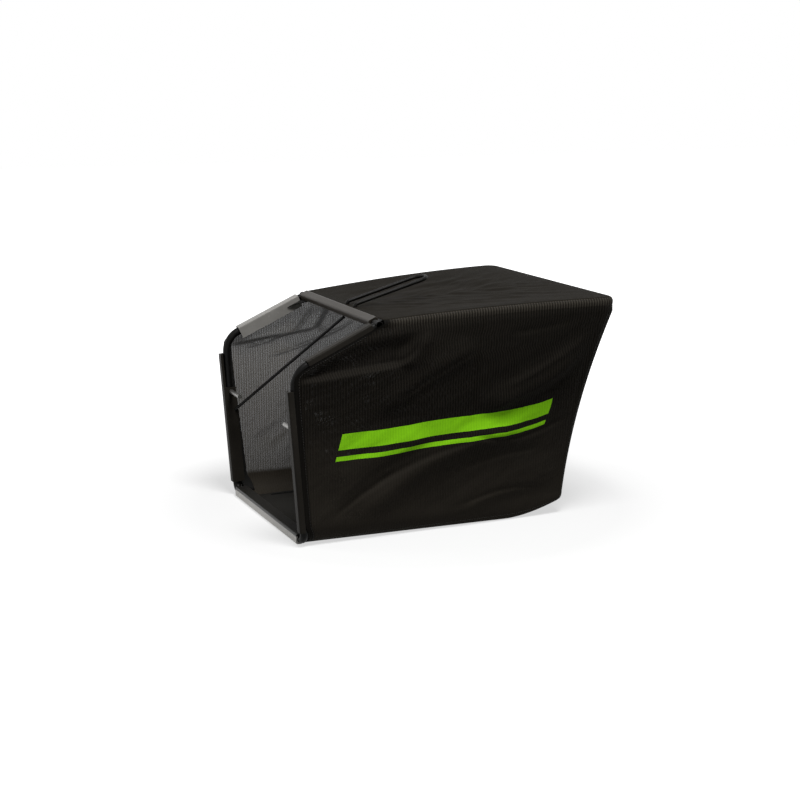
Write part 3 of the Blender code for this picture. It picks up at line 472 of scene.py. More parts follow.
REAR_REACH, LIFT_START, LIFT_POWER = 0.034, 0.35, 1.7
BEND_BASE, BEND_TOP = 0.0095, 0.021
BAG_MIDDLE = (0.0, 0.25, 0.17)

BASE_HEIGHT = CHANNEL_HALF
HALF_MOUTH, HALF_CROSS = MOUTH_WIDTH / 2, CROSS_WIDTH / 2
SLEEVE_R = LOOP_R + GAP + FABRIC
LOOP_START = CROSS_SETBACK + TUBE_R + GAP
LOOP_REAR = REAR_TOP_SETBACK - SLEEVE_R
LOOP_FRONT_HALF = HALF_CROSS + CHANNEL_HALF - SLEEVE_R
LOOP_REAR_HALF = REAR_TOP_WIDTH / 2 - SLEEVE_R
SEAM_REAR = REAR_BASE_SETBACK - CORNER_REACH
SLEEVE_LOW, SLEEVE_HIGH = radians(-40), radians(60)

FOOT = np.array((HALF_MOUTH, 0.0, BASE_HEIGHT))
SHOULDER = np.array((HALF_MOUTH, -SHOULDER_LEAN, SHOULDER_HEIGHT))
CROSS = np.array((HALF_CROSS, CROSS_SETBACK, CROSS_HEIGHT))


def unit(vector):
    vector = np.asarray(vector, float)
    return vector / np.linalg.norm(vector)


def smooth(x):
    """An even step from 0 at 0 to 1 at 1."""
    x = min(1.0, max(0.0, float(x)))
    return x * x * (3 - 2 * x)


def between(start, end, share):
    """The value or point at a share of the way from start to end."""
    return start + (end - start) * share


UP_SLOPE = unit(CROSS - SHOULDER)
INTO_BAG_SLOPE = unit((0, UP_SLOPE[2], -UP_SLOPE[1]))
UP_CHANNEL = unit((0, -CHANNEL_LEAN, SHOULDER_HEIGHT - BASE_HEIGHT))
print("mouth", MOUTH_WIDTH, "m wide, bag", REAR_TOP_SETBACK, "m deep")

# %% [markdown]
# ## Tubes
# A bent tube is a line with a round section. The line is a row of points with an arc
# at each bend, and a curve object gives it the section, so the highlights run clean.


# %% Tubes
def arc_path(corners, radii, steps=10):
    """A line through the corners, with an arc of its own radius at each inner one."""
    corners = [np.asarray(c, float) for c in corners]
    path = [corners[0]]
    for before, corner, after, radius in zip(corners, corners[1:], corners[2:], radii):
        arrive, leave = unit(corner - before), unit(after - corner)
        turn = acos(float(np.clip(arrive @ leave, -1, 1)))
        start = corner - arrive * radius * tan(turn / 2)
        way = unit(leave - arrive * (arrive @ leave))
        centre = start + way * radius
        for k in range(steps + 1):
            angle = turn * k / steps
            path.append(centre - way * radius * cos(angle) + arrive * radius * sin(angle))
    path.append(corners[-1])
    return np.array(path)


def mirrored(points):
    return np.asarray(points, float) * (-1, 1, 1)


def round_bar(name, path, radius, finish, node):
    """A round bar or tube along a line of points, as a curve with a round section."""
    curve = bpy.data.curves.new(name, "CURVE")
    curve.dimensions = "3D"
    curve.bevel_depth = radius
    curve.bevel_resolution = 6
    curve.use_fill_caps = True
    line = curve.splines.new("POLY")
    line.points.add(len(path) - 1)
    for point, place in zip(line.points, path):
        point.co = (*place, 1)
    curve.materials.append(finish)
    bar = put_in_scene(name, curve)
    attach(bar, "root")
    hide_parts(node)
    return bar


slope_end = CROSS - UP_SLOPE * (TUBE_R + GAP)
hoop_corners = [mirrored(slope_end), mirrored(SHOULDER), mirrored(FOOT), FOOT, SHOULDER, slope_end]
hoop_path = arc_path(hoop_corners, (SHOULDER_BEND, FOOT_BEND, FOOT_BEND, SHOULDER_BEND))
round_bar("mouth_hoop", hoop_path, TUBE_R, black_powder_coat, "front_hoop")
print("mouth hoop:", len(hoop_path), "points")

# %% [markdown]
# The handle is a hairpin of thinner rod. It leaves the back of the cross tube, rises
# through the top cloth and runs back at a slant.

# %% Handle
HANDLE_R, HANDLE_SPAN, HANDLE_OFFSET = 0.003, 0.033, 0.0185
HANDLE_PITCH = radians(15.6)


def handle_path():
    half, low = HANDLE_SPAN / 2, CROSS_HEIGHT - 0.0019
    rise_y, high, end_y = CROSS_SETBACK + 0.014, low + 0.0142, CROSS_SETBACK + 0.143
    pitch = np.array((0, cos(HANDLE_PITCH), sin(HANDLE_PITCH)))
    top = np.array((half, rise_y, high)) + pitch * ((end_y - rise_y) / pitch[1] - half)
    leg = [(half, LOOP_START, low), (half, rise_y, low), (half, rise_y, high), top]
    path = list(arc_path(leg, (0.0048, 0.0048), 6))
    for k in range(1, 9):
        angle = pi / 2 * k / 8
        across = np.array((half * cos(angle), 0, 0))
        path.append(top - (half, 0, 0) + across + pitch * half * sin(angle))
    right = np.array(path)
    return np.concatenate([right, mirrored(right[-2::-1])]) + (HANDLE_OFFSET, 0, 0)


round_bar("carry_handle", handle_path(), HANDLE_R, black_powder_coat, "handle_rod")
print("handle:", round(HANDLE_SPAN * 1000), "mm wide")

# %% [markdown]
# ## The form of the bag
# The walls are lofted. Each row of a wall runs from the mouth, along the side, round
# the rear corner and across the rear. The mouth edge follows the channels, the rear
# leans back towards the top, and the lower edge is turned under to meet the bottom.


# %% The form of the bag
def along_loop(y):
    return min(1.0, max(0.0, (y - LOOP_START) / (LOOP_REAR - LOOP_START)))


def loop_height(y):
    """Height of the centre of the top loop."""
    rise = REAR_TOP_HEIGHT - SLEEVE_R - CROSS_HEIGHT
    return CROSS_HEIGHT + rise * (1 - (1 - along_loop(y)) ** LOOP_CROWN)


def lift(y, end=SEAM_REAR):
    """Share by which the base has risen off the floor."""
    return min(1.0, max(0.0, (y - LIFT_START) / (end - LIFT_START))) ** LIFT_POWER


def mouth_y(z):
    """Front edge of the side cloth at a height."""
    seat = CHANNEL_GRIP + GAP
    upright = (z - BASE_HEIGHT) * UP_CHANNEL[1] / UP_CHANNEL[2] + seat / UP_CHANNEL[2]
    slope_seat = SHOULDER + INTO_BAG_SLOPE * seat
    slope = slope_seat[1] + (z - slope_seat[2]) * UP_SLOPE[1] / UP_SLOPE[2]
    edge = 0.5 * (upright + slope + sqrt((upright - slope) ** 2 + 0.012**2))
    edge += (TUBE_R + GAP) * smooth(1.6 * (1 - z / (BASE_HEIGHT + FOOT_BEND + 2 * TUBE_R)))
    return min(edge, LOOP_START + 4 * GAP)


def wall_share(z):
    return (z - REAR_BASE_HEIGHT) / (REAR_TOP_HEIGHT - SLEEVE_R - REAR_BASE_HEIGHT)


def rear_y(z):
    return REAR_BASE_SETBACK + REAR_BELLY * (0.1 * wall_share(z) + 0.95 * wall_share(z) ** 2)


def rear_x(z):
    return REAR_BASE_WIDTH / 2 + (REAR_TOP_WIDTH - REAR_BASE_WIDTH) / 2 * wall_share(z)


def front_x(z):
    up = min(1.0, max(0.0, (z - SHOULDER_HEIGHT) / (CROSS_HEIGHT - SHOULDER_HEIGHT)))
    return HALF_MOUTH + CHANNEL_HALF - (HALF_MOUTH - HALF_CROSS) * up


def corner_curve(front, corner, radius, share, turned):
    """Plan point and way out of the bag, on a line that bends round a rear corner."""
    front, corner = np.asarray(front, float), np.asarray(corner, float)
    heading = unit(corner - front)
    turn = acos(float(heading @ (-1.0, 0.0)))
    start = corner - heading * radius * tan(turn / 2)
    outwards = np.array((heading[1], -heading[0]))
    if turned <= 0:
        return between(front, start, share), outwards
    angle = turn * turned
    way = outwards * cos(angle) + heading * sin(angle)
    return start - outwards * radius + way * radius, way


def floor_reach(y):
    share = min(1.0, max(0.0, y / SEAM_REAR))
    return between(FLOOR_REACH, CORNER_REACH, share)


def wall_heights(y, across):
    """Height of the base, of the round above it, and of the seat of the sleeve."""
    middle, risen = 1 - abs(across) ** 2.5, lift(y)
    base = between(REAR_BASE_HEIGHT, REAR_MIDDLE_HEIGHT, middle) * risen
    low = between(FLOOR_ROUND, CORNER_ROUND, 1 - middle)
    seat = loop_height(y) + SLEEVE_R * sin(SLEEVE_LOW)
    return base, between(FLOOR_ROUND, low, risen), seat


print("rear wall at half height:", round(rear_y(0.18), 4), "m behind the mouth")

# %% [markdown]
# ## Folds
# The cloth hangs between stiff edges, so it falls into long slanted folds. Each fold is
# a soft ridge along a slightly bowed line on the wall, steeper on one side than on the
# other, and it fades out at both ends. Under the sloping tube the channel pulls the
# cloth in, which makes a hollow with a shelf below it. A few thin wrinkles and an uneven
# ruffle lie on top of these, and the left wall has sharp creases of its own.

# %% Folds
HOLLOW_DEPTH, HOLLOW_LENGTH = 0.011, 0.163
SHELF_HEIGHT, SHELF_RISE = 0.2535, 0.105


def in_metres(*rows):
    """Rows of two points and four numbers in millimetres, turned into metres."""
    return [[*(np.array(row[:2]) / 1000).tolist(), *(n / 1000 for n in row[2:])] for row in rows]


# front end and rear end (setback, height), bow, spread above and below, height of the ridge
BROAD_FOLDS = in_metres(
    ((301, 194), (491, 296), -10, 22, 11, 9.8),
    ((97, 45), (360, 156), 20, 18, 20, 8.5),
    ((52, 74), (196, 156), 9, 26, 11, 4.5),
    ((245, 28), (444, 79), 0, 34, 13, 4.5),
    ((128, 205), (275, 290), 4, 22, 10, 5.5),
    ((158, 272), (195, 334), -12, 14, 12, 4.5),
)
RIGHT_WRINKLES = in_metres(
    ((150, 218), (276, 286), 3, 6, 3, -2.6),
    ((286, 147), (428, 160), -13, 6, 3.2, -2.6),
    ((56, 48), (288, 143), 16, 6.5, 3.4, -2.4),
    ((251, 29), (402, 52), 12, 6, 3.2, -1.8),
    ((150, 277), (187, 334), -12.6, 4.5, 3, -3),
    ((415, 229), (464, 233), 1, 4, 2.6, -2),
    ((398, 215), (446, 214), 1, 4, 2.6, -1.8),
    ((414, 156), (462, 171), 1, 4.5, 2.8, -2.2),
    ((330, 226), (472, 304), -4, 6, 5, 2.2),
    ((398, 63), (444, 74), 1, 5, 3, -1.4),
    ((268, 98), (392, 118), 4, 7, 4, -1.6),
    ((336, 312), (440, 330), -3, 7, 4, -1.4),
)
LEFT_CREASES = in_metres(
    ((139, 311), (105, 271), 2, 2.4, 2.4, -3.2),
    ((110, 276), (27, 253), 4, 2.4, 2.4, -3),
    ((232, 284), (156, 257), 3, 2.2, 2.2, -3),
    ((164, 258), (70, 234), 2, 2.2, 2.2, -2.6),
    ((262, 322), (170, 296), 3, 2.2, 2.2, -2.4),
)


def fold(y, z, front, rear, bow, above, below, height):
    """A ridge of cloth between two ends, with its own spread to each side."""
    (y0, z0), (y1, z1) = front, rear
    length = hypot(y1 - y0, z1 - z0)
    along = ((y - y0) * (y1 - y0) + (z - z0) * (z1 - z0)) / length**2
    off = ((z - z0) * (y1 - y0) - (y - y0) * (z1 - z0)) / length
    off -= 4 * bow * along * (1 - along)
    spread = above if off > 0 else below
    if not -0.1 < along < 1.1 or abs(off) > 4 * spread:
        return 0.0
    fade = smooth(along * 4 + 0.4) * smooth((1 - along) * 4 + 0.4)
    return height * exp(-((off / spread) ** 2)) * fade


def hollow(y, z):
    """Share of the hollow under a slope: deepest over a shelf, and nothing at the slope."""
    below_slope = SHOULDER[2] + (y - SHOULDER[1]) * UP_SLOPE[2] / UP_SLOPE[1] - z
    over_shelf = z - (SHELF_HEIGHT + SHELF_RISE * y)
    before_arc = HOLLOW_LENGTH + 0.6 * (z - SHOULDER_HEIGHT) - y
    closing = smooth(below_slope / max(0.012, 0.75 * (below_slope + over_shelf)))
    return closing * smooth(over_shelf / 0.01) * smooth(before_arc / 0.025)


def ruffle(y, z, seed):
    """Small unevenness, drawn out along the fall of the folds."""
    along, off = y * 0.87 + z * 0.49, z * 0.87 - y * 0.49
    coarse = noise.noise(Vector((along / 0.06, off / 0.019, seed)))
    fine = noise.noise(Vector((along / 0.024, off / 0.008, seed + 7.0)))
    return 0.0011 * coarse + 0.00035 * fine


def side_folds(y, z, left):
    """How far the folds stand out of the plain wall."""
    own = LEFT_CREASES if left else RIGHT_WRINKLES
    stand = sum(fold(y, z, *one) for one in BROAD_FOLDS + own)
    return stand - HOLLOW_DEPTH * hollow(y, z) + ruffle(y, z, 3.0 if left else 1.0)


print(len(BROAD_FOLDS), "folds,", len(RIGHT_WRINKLES), "wrinkles,", len(LEFT_CREASES), "creases")

# %% [markdown]
# ## Points of the side and rear walls
# A row is named by its kind: the round at the floor, the plain wall, or the sleeve
# that wraps over the loop. Each point is given with the way out of the bag there and
# with the share of the folds that it takes, which falls to nothing at sewn edges.


# %% Points of the walls
def loop_plan(share, turned, y_front):
    front, corner = (LOOP_FRONT_HALF, LOOP_START), (LOOP_REAR_HALF, LOOP_REAR)
    if turned > 0:
        return corner_curve(front, corner, LOOP_CORNER, 1.0, turned)
    bend_start, outwards = corner_curve(front, corner, LOOP_CORNER, 1.0, 0.0)
    y = between(y_front, bend_start[1], share)
    along = max(0.0, (y - LOOP_START) / (bend_start[1] - LOOP_START))
    return np.array((between(LOOP_FRONT_HALF, bend_start[0], along), y)), outwards


def sleeve_point(angle, share, turned, across=None):
    height = CROSS_HEIGHT + SLEEVE_R * sin(angle)
    plan, outwards = loop_plan(share, turned, mouth_y(height))
    if across is not None:
        plan, outwards = plan * (across, 1), np.array((0.0, 1.0))
    reach = cos(angle) if angle > 0 else 0.25 * cos(angle) + 0.75
    out = plan + outwards * SLEEVE_R * reach
    return np.array((*out, loop_height(plan[1]) + SLEEVE_R * sin(angle)))


def wall_height(v, y, across=1.0):
    """Height of a row of the plain wall."""
    base, rounding, top = wall_heights(y, across)
    return base + rounding + (top - base - rounding) * v


def wall_point(v, share, turned, across=1.0):
    z_front, z_rear = wall_height(v, 0.0), wall_height(v, LOOP_REAR, across)
    radius = between(BEND_BASE, BEND_TOP, v)
    front, corner = (front_x(z_front), mouth_y(z_front)), (rear_x(z_rear), rear_y(z_rear))
    plan, outwards = corner_curve(front, corner, radius, share, turned)
    z = z_rear if turned > 0 else wall_height(v, plan[1])
    return np.array((*plan, z)), np.array((*outwards, 0.0))


def side_point(row, share, turned):
    """A point of the plain side, the way out of the bag, and the share of the folds."""
    kind, value = row
    if kind == "sleeve":
        return sleeve_point(value, share, turned), np.zeros(3), 0.0
    v = value if kind == "wall" else 0.0
    point, outwards = wall_point(v, share, turned)
    folding = smooth(share / 0.08) * smooth((1 - share) / 0.1) * (turned <= 0)
    folding *= smooth((0.98 - v) / 0.09)
    if kind == "floor":
        base, rounding, _ = wall_heights(point[1], 1.0)
        point[2] = base + rounding * (1 - cos(value))
        z_front = FLOOR_ROUND * (1 - cos(value))
        point[1] += (mouth_y(z_front) - mouth_y(FLOOR_ROUND)) * (1 - share) ** 3 * (turned <= 0)
        point -= outwards * floor_reach(point[1]) * (1 - sin(value))
        folding *= sin(value)
    return point, outwards, folding


def rear_point(row, across, turned):
    kind, value = row
    side = copysign(1.0, across)
    if kind == "sleeve":
        if turned < 1:
            return sleeve_point(value, 1.0, turned) * (side, 1, 1)
        return sleeve_point(value, 1.0, 1.0, across=across)
    v = value if kind == "wall" else 0.0
    inner = across if turned >= 1 else 1.0
    point, outwards = wall_point(v, 1.0, min(turned, 1.0), inner)
    loose = (1 - inner**2) * sin(pi * v) ** 0.7 * (turned >= 1)
    waves = 0.003 * sin(9.0 * across + 2.0 * v) + 2.2 * ruffle(0.2 * across, 0.33 * v, 5.0)
    point[1] += (0.012 + waves) * loose
    if kind == "floor":
        middle = 1 - abs(inner) ** 2.5
        base, rounding, _ = wall_heights(LOOP_REAR, inner)
        point[2] = base + rounding * (1 - cos(value))
        reach = between(CORNER_REACH, REAR_REACH, middle)
        point -= outwards * reach * (1 - sin(value))
    return point * (across if turned >= 1 else side, 1, 1)


SLEEVE_ROWS = 12
ROWS = [("floor", a) for a in np.radians(np.linspace(0, 80, 9))]
ROWS += [("wall", v) for v in np.linspace(0.0, 0.965, 112)]
ROWS += [("sleeve", a) for a in np.linspace(SLEEVE_LOW, SLEEVE_HIGH, SLEEVE_ROWS)]
print("rows of a wall:", len(ROWS))

# %% [markdown]
# ## From points to cloth
# A panel is a grid of points. The grid also carries the map in metres that the weave
# reads, measured along the threads, so the weave neither stretches nor slides. A
# modelled fold is a true shape in the mesh; only the threads are left to the finish.


# %% From points to cloth
def arc_lengths(grid, axis):
    """Running length along one direction of a grid, from 0."""
    steps = np.linalg.norm(np.diff(grid, axis=axis), axis=2)
    zero = np.zeros_like(np.take(steps, [0], axis=axis))
    return np.concatenate([zero, np.cumsum(steps, axis=axis)], axis=axis)


def how_open(grid, stand):
    """1 on flat cloth, and less where a steep flank turns its holes aside."""
    steepness = 0.0
    for axis in (1, 0):
        run = np.gradient(arc_lengths(grid, axis), axis=axis)
        steepness = steepness + (np.gradient(stand, axis=axis) / np.maximum(1e-4, run)) ** 2
    return 1 / (1 + 5.0 * steepness)


def skin(name, points, faces, finish):
    """A smooth mesh in the scene."""
    mesh = bpy.data.meshes.new(name)
    mesh.from_pydata([tuple(p) for p in points], [], faces)
    mesh.shade_smooth()
    mesh.materials.append(finish)
    return put_in_scene(name, mesh)


def cloth_panel(name, grid, finish, slot, node, cloth, thickness=0.0, **stored_numbers):
    """A panel of cloth from the grid of its outer face and its map in metres."""
    grid = np.asarray(grid, float)
    rows, columns = grid.shape[:2]
    faces = [
        (r * columns + c, r * columns + c + 1, (r + 1) * columns + c + 1, (r + 1) * columns + c)
        for r in range(rows - 1)
        for c in range(columns - 1)
    ]
    panel = skin(name, grid.reshape(-1, 3).tolist(), faces, finish)
    mesh = panel.data
    mapped = mesh.uv_layers.new(name="cloth")
    corners = np.array([loop.vertex_index for loop in mesh.loops])
    mapped.data.foreach_set("uv", cloth.reshape(-1, 2)[corners].astype(np.float32).ravel())
    for label, values in stored_numbers.items():
        layer = mesh.attributes.new(label, "FLOAT", "POINT")
        layer.data.foreach_set("value", np.asarray(values, np.float32).ravel())
    face = mesh.polygons[len(mesh.polygons) // 2]
    if face.normal.dot(face.center - Vector(BAG_MIDDLE)) < 0:
        mesh.flip_normals()
    if thickness:
        solid = panel.modifiers.new("thickness", "SOLIDIFY")
        solid.thickness = thickness
        solid.offset = -1.0
    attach(panel, "root")
    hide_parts(node)
    print(name, len(mesh.polygons), "faces")
    return panel


# %% [markdown]
# ## Side and rear walls
# The seam between a side and the rear runs up the middle of the rear corner. At the
# mouth the cloth is turned in over a finger's width, and this hem is dark and closed.
# The coated bottom cloth is turned up inside the walls for three centimetres, so that
# wet grass doesn't sit in the mesh, and no light comes through there.

# %% Side and rear walls
HEM_WIDTH, LINING = 0.009, 0.0495
SHARES = [*np.linspace(0.0, 0.03, 6), *np.linspace(0.036, 1.0, 160)]
HALF_BENDS = (0.1, 0.2, 0.3, 0.4, 0.5)


def side_wall(left):
    """Outer face of a side as a grid, and how far its folds stand out."""
    grid, stand = [], []
    for row in ROWS:
        line = [side_point(row, s, 0.0) for s in SHARES]
        line += [side_point(row, 1.0, t) for t in HALF_BENDS]
        heights = [side_folds(p[1], p[2], left) * share if share else 0.0 for p, _, share in line]
        grid.append([p + way * height for (p, way, _), height in zip(line, heights)])
        stand.append(heights)
    return np.array(grid), np.array(stand)


def above_lining(grid):
    """0 where the coated bottom cloth is turned up inside the wall, 1 above it."""
    return np.clip((arc_lengths(grid, 0) - LINING) / 0.001, 0, 1)


def how_worn(grid):
    """1 where the cloth rolls over the loop, behind the cross tube; there the ribs are painted pale,
    rubbing wear and a painted highlight.
    """
    rolled = [smooth((1.15 - v / SLEEVE_LOW) / 0.35) if kind == "sleeve" else 0.0 for kind, v in ROWS]
    behind = np.clip((grid[:, :, 1] - CROSS_SETBACK - 0.01) / 0.02, 0, 1)
    return np.array(rolled)[:, None] * behind


def side_panel(name, left, finish, node):
    grid, stand = side_wall(left)
    from_mouth = arc_lengths(grid, 1)
    cloth = np.stack([from_mouth + grid[:, :1, 1], arc_lengths(grid, 0)], -1)
    numbers = {
        "open": how_open(grid, stand) * above_lining(grid),
        "hem": np.clip((HEM_WIDTH - from_mouth) / 0.001, 0, 1),
        # Where the ribs are painted pale over the loop: painted highlight and rubbing wear.
        "worn": how_worn(grid),
    }
    shape = mirrored(grid) if left else grid
    return cloth_panel(name, shape, finish, "side_mesh", node, cloth, **numbers), grid


right_wall, side_grid = side_panel("side_wall_right", False, printed_mesh, "side_panel_right")
left_wall, left_grid = side_panel("side_wall_left", True, bare_mesh, "side_panel_left")

rear_grid = []
for row in ROWS:
    bend = [rear_point(row, 1.0, t) for t in (0.5, 0.6, 0.7, 0.8, 0.9, 0.999)]
    flat = [rear_point(row, a, 1.0) for a in np.linspace(1.0, -1.0, 100)]
    rear_grid.append(bend + flat[1:-1] + [p * (-1, 1, 1) for p in reversed(bend)])
rear_grid = np.array(rear_grid)
rear_along = arc_lengths(rear_grid, 1)
rear_along -= rear_along[:, -1:] / 2
rear_cloth = np.stack([rear_along, arc_lengths(rear_grid, 0)], -1)
rear_wall = cloth_panel(
    "rear_wall", rear_grid, bare_mesh, "side_mesh", "rear_panel", rear_cloth,
    open=above_lining(rear_grid), hem=np.zeros(rear_along.shape), worn=how_worn(rear_grid),
)

# %% [markdown]
# ## Bottom
# The bottom is flat on the floor and rises towards the rear, where it is sewn to the
# walls.


# %% Bottom
OVERLAP = 0.0003


def floor_grid():
    """Outer face of the bottom, laid between the lower seams of the walls."""
    seam, rear_seam = side_grid[0], rear_grid[0][::-1]

    def half_at(y):
        return float(np.interp(y, seam[:, 1], seam[:, 0])) + OVERLAP

    lines = []
    for s in np.linspace(-1, 1, 41):
        recess = smooth((abs(s) - 0.89) / 0.1) * (TUBE_R + GAP)
        front = CHANNEL_GRIP + GAP + recess
        half = seam[-1, 0] + OVERLAP
        for _ in range(8):
            rear = float(np.interp(s * half, rear_seam[:, 0], rear_seam[:, 1])) + OVERLAP
            if abs(s) < 1.0:
                half = half_at(rear)
        line = []
        for q in np.linspace(0, 1, 46):
            y = between(front, rear, q)
            height = between(REAR_MIDDLE_HEIGHT, REAR_BASE_HEIGHT, abs(s) ** 2.5)
            line.append((s * half_at(y), y, height * lift(y, rear)))
        lines.append(line)
    return np.array(lines).transpose(1, 0, 2)


bottom_grid = floor_grid()
bottom_map = bottom_grid[:, :, :2]
bottom = cloth_panel(
    "bottom_cloth", bottom_grid, coated_weave, "floor_cloth", "bottom_panel", bottom_map, FABRIC
)

# %% [markdown]
# ## Top
# The top cloth lies over the loop at both sides and at the rear, and sags a little in
# between, with a faint ruffle where it is loose.


# %% Top
def top_height(plan, over, straight, s, deep):
    height = loop_height(plan[1]) + sqrt(SLEEVE_R**2 - over**2)
    if deep > 0:
        return height
    slack = (1 - s**2) * sin(pi * min(1.0, straight))
    return height - 0.007 * slack + 2.0 * ruffle(plan[1], plan[0], 9.0) * min(1.0, 1.6 * slack)


def top_grid():
    tilt = atan((LOOP_REAR_HALF - LOOP_FRONT_HALF) / (LOOP_REAR - LOOP_START))
    outwards = np.array((cos(tilt), -sin(tilt)))
    corner = np.array((LOOP_REAR_HALF, LOOP_REAR))
    setback = LOOP_CORNER * tan((pi / 2 + tilt) / 2)
    bend_start = corner - np.array((sin(tilt), cos(tilt))) * setback
    centre = bend_start - outwards * LOOP_CORNER
    edges = [SLEEVE_R * cos(a) for a in np.linspace(radians(82), SLEEVE_HIGH, 6)]
    rings = list(np.linspace(0.2, 1.0, 5) * LOOP_CORNER) + [LOOP_CORNER + e for e in edges]
    front = LOOP_START + GAP
    rows = [(y, 0.0) for y in np.linspace(front, bend_start[1], 90)]
    rows += [(bend_start[1], r) for r in rings]
    columns = [(s, 0.0) for s in np.linspace(0, 1, 46)] + [(1.0, r) for r in rings]
    grid = []
    for y_row, deep in rows:
        straight = (y_row - front) / (bend_start[1] - front)
        out = unit((outwards[0], outwards[1] * smooth(straight / 0.08)))
        line_x = LOOP_FRONT_HALF + (y_row - LOOP_START) * tan(tilt)
        line = []
        for s, wide in columns:
            if deep == 0.0:
                inner = np.array((line_x, y_row)) - out * LOOP_CORNER
                plan = np.array((inner[0] * s, y_row + (inner[1] - y_row) * s)) + out * wide
            elif wide == 0.0:
                plan = np.array((centre[0] * s, centre[1] + deep))
            else:
                share = 0.5 * deep / wide if wide >= deep else 1 - 0.5 * wide / deep
                angle = -tilt + share * (pi / 2 + tilt)
                plan = centre + max(wide, deep) * np.array((cos(angle), sin(angle)))
            over = max(0.0, max(wide, deep) - LOOP_CORNER)
            line.append((plan[0], plan[1], top_height(plan, over, straight, s, deep)))
        grid.append([(-x, y, z) for x, y, z in reversed(line[1:])] + line)
    return np.array(grid)


cover = top_grid()
top = cloth_panel("top_cover", cover, top_weave, "top_cloth", "top_panel", cover[:, :, :2], FABRIC)

# %% [markdown]
# ## Mouth tapes
# A tape backs the mouth edge of each side on the inside. It is widest at the floor,
# narrows towards the shoulder and runs on under the sloping channel. It is cut from the
# same grid as the wall, set inwards, so it lies against the cloth all the way.


# %% Mouth tapes
TAPE, TAPE_LOW, TAPE_HIGH, TAPE_INSET = 0.0012, 0.02, 0.013, 0.0008


def raised(grid, height):
    """A grid moved outwards by a height."""
    normals = np.cross(np.gradient(grid, axis=1), np.gradient(grid, axis=0))
    normals /= np.maximum(1e-12, np.linalg.norm(normals, axis=2))[:, :, None]
    outwards = grid - np.array(BAG_MIDDLE)
    return grid + normals * height * copysign(1.0, (normals * outwards).sum())


def running(line):
    """Length along a line of points, from 0 at its start."""
    return np.concatenate([[0.0], np.cumsum(np.linalg.norm(np.diff(line, axis=0), axis=1))])


def at_lengths(line, lengths):
    """Points of a line at distances from its start."""
    run = running(line)
    return np.array([[np.interp(length, run, line[:, k]) for k in range(3)] for length in lengths])


def mouth_tape(name, wall, left, node):
    inner = raised(wall, -TAPE_INSET)
    tape = []
    for row in range(3, len(ROWS) - SLEEVE_ROWS - 2):
        width = between(TAPE_HIGH, TAPE_LOW, smooth(1 - wall[row, 0, 2] / SHOULDER_HEIGHT))
        tape.append(at_lengths(inner[row], np.linspace(0.002, width, 8)))
    tape = mirrored(tape) if left else np.array(tape)
    cloth = np.stack([arc_lengths(tape, 1), arc_lengths(tape, 0)], -1)
    return cloth_panel(name, tape, black_webbing, "black_tape", node, cloth, TAPE)


mouth_tapes = {
    "right": mouth_tape("mouth_tape_right", side_grid, False, "mouth_hem_right"),
    "left": mouth_tape("mouth_tape_left", left_grid, True, "mouth_hem_left"),
}

# %% [markdown]
# ## Stitches
# Every seam is a row of lockstitches. Each stitch is a short thread that dips into the
# cloth at both ends, so a small spindle along the seam stands for it.


# %% Stitches
STITCH_PITCH, STITCH_LENGTH, STITCH_R, STITCH_LIFT = 0.0042, 0.0033, 0.00032, 0.00025
SIDES = 6


def spindle(start, end, first):
    """Points and faces of one stitch, numbered from first."""
    way = unit(end - start)
    side = unit(np.cross(way, (0.31, 0.52, 0.79)))
    other = np.cross(way, side)
    points = [start]
    for share in (0.2, 0.8):
        middle = between(start, end, share)
        for angle in np.arange(SIDES) * 2 * pi / SIDES:
            points.append(middle + STITCH_R * (side * cos(angle) + other * sin(angle)))
    points.append(end)
    faces = []
    for n in range(SIDES):
        a, b = 1 + n, 1 + (n + 1) % SIDES
        faces += [(0, b, a), (a, b, b + SIDES, a + SIDES), (a + SIDES, b + SIDES, 2 * SIDES + 1)]
    return points, [tuple(first + k for k in face) for face in faces]


def stitch_row(name, line):
    """Stitches laid end to end along a line of points."""
    line = np.asarray(line)
    points, faces = [], []
    for start in np.arange(0.003, running(line)[-1] - STITCH_LENGTH, STITCH_PITCH):
        ends = at_lengths(line, (start, start + STITCH_LENGTH))
        new_points, new_faces = spindle(*ends, len(points))
        points += new_points
        faces += new_faces
    row = skin(name, points, faces, thread_finish)
    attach(row, "root")
    return len(points) // (2 * SIDES + 2)


count = 0
for side, wall in (("right", side_grid), ("left", left_grid)):
    lifted = raised(wall, STITCH_LIFT)
    lines = {
        "top": lifted[-3, 4:],
        "floor": lifted[4, 4:],
        "mouth": [at_lengths(row, [HEM_WIDTH - 0.0015])[0] for row in lifted[3:-SLEEVE_ROWS]],
        "rear": lifted[2:-SLEEVE_ROWS, -4],
    }
    for place, line in lines.items():
        count += stitch_row(f"stitches_{place}_{side}", mirrored(line) if side == "left" else line)
lifted = raised(rear_grid, STITCH_LIFT)
for name, line in (("stitches_top_rear", lifted[-3]), ("stitches_floor_rear", lifted[4])):
    count += stitch_row(name, line)
print("stitches:", count)

# %% [markdown]
# ## Pieces kept from the frame
# The cross tube, the loop, the brace, the channels, the pegs and the other tapes keep
# the shape they have, and get a finish. Their triangles are welded, and the channels
# get a small rounded edge that catches the light.

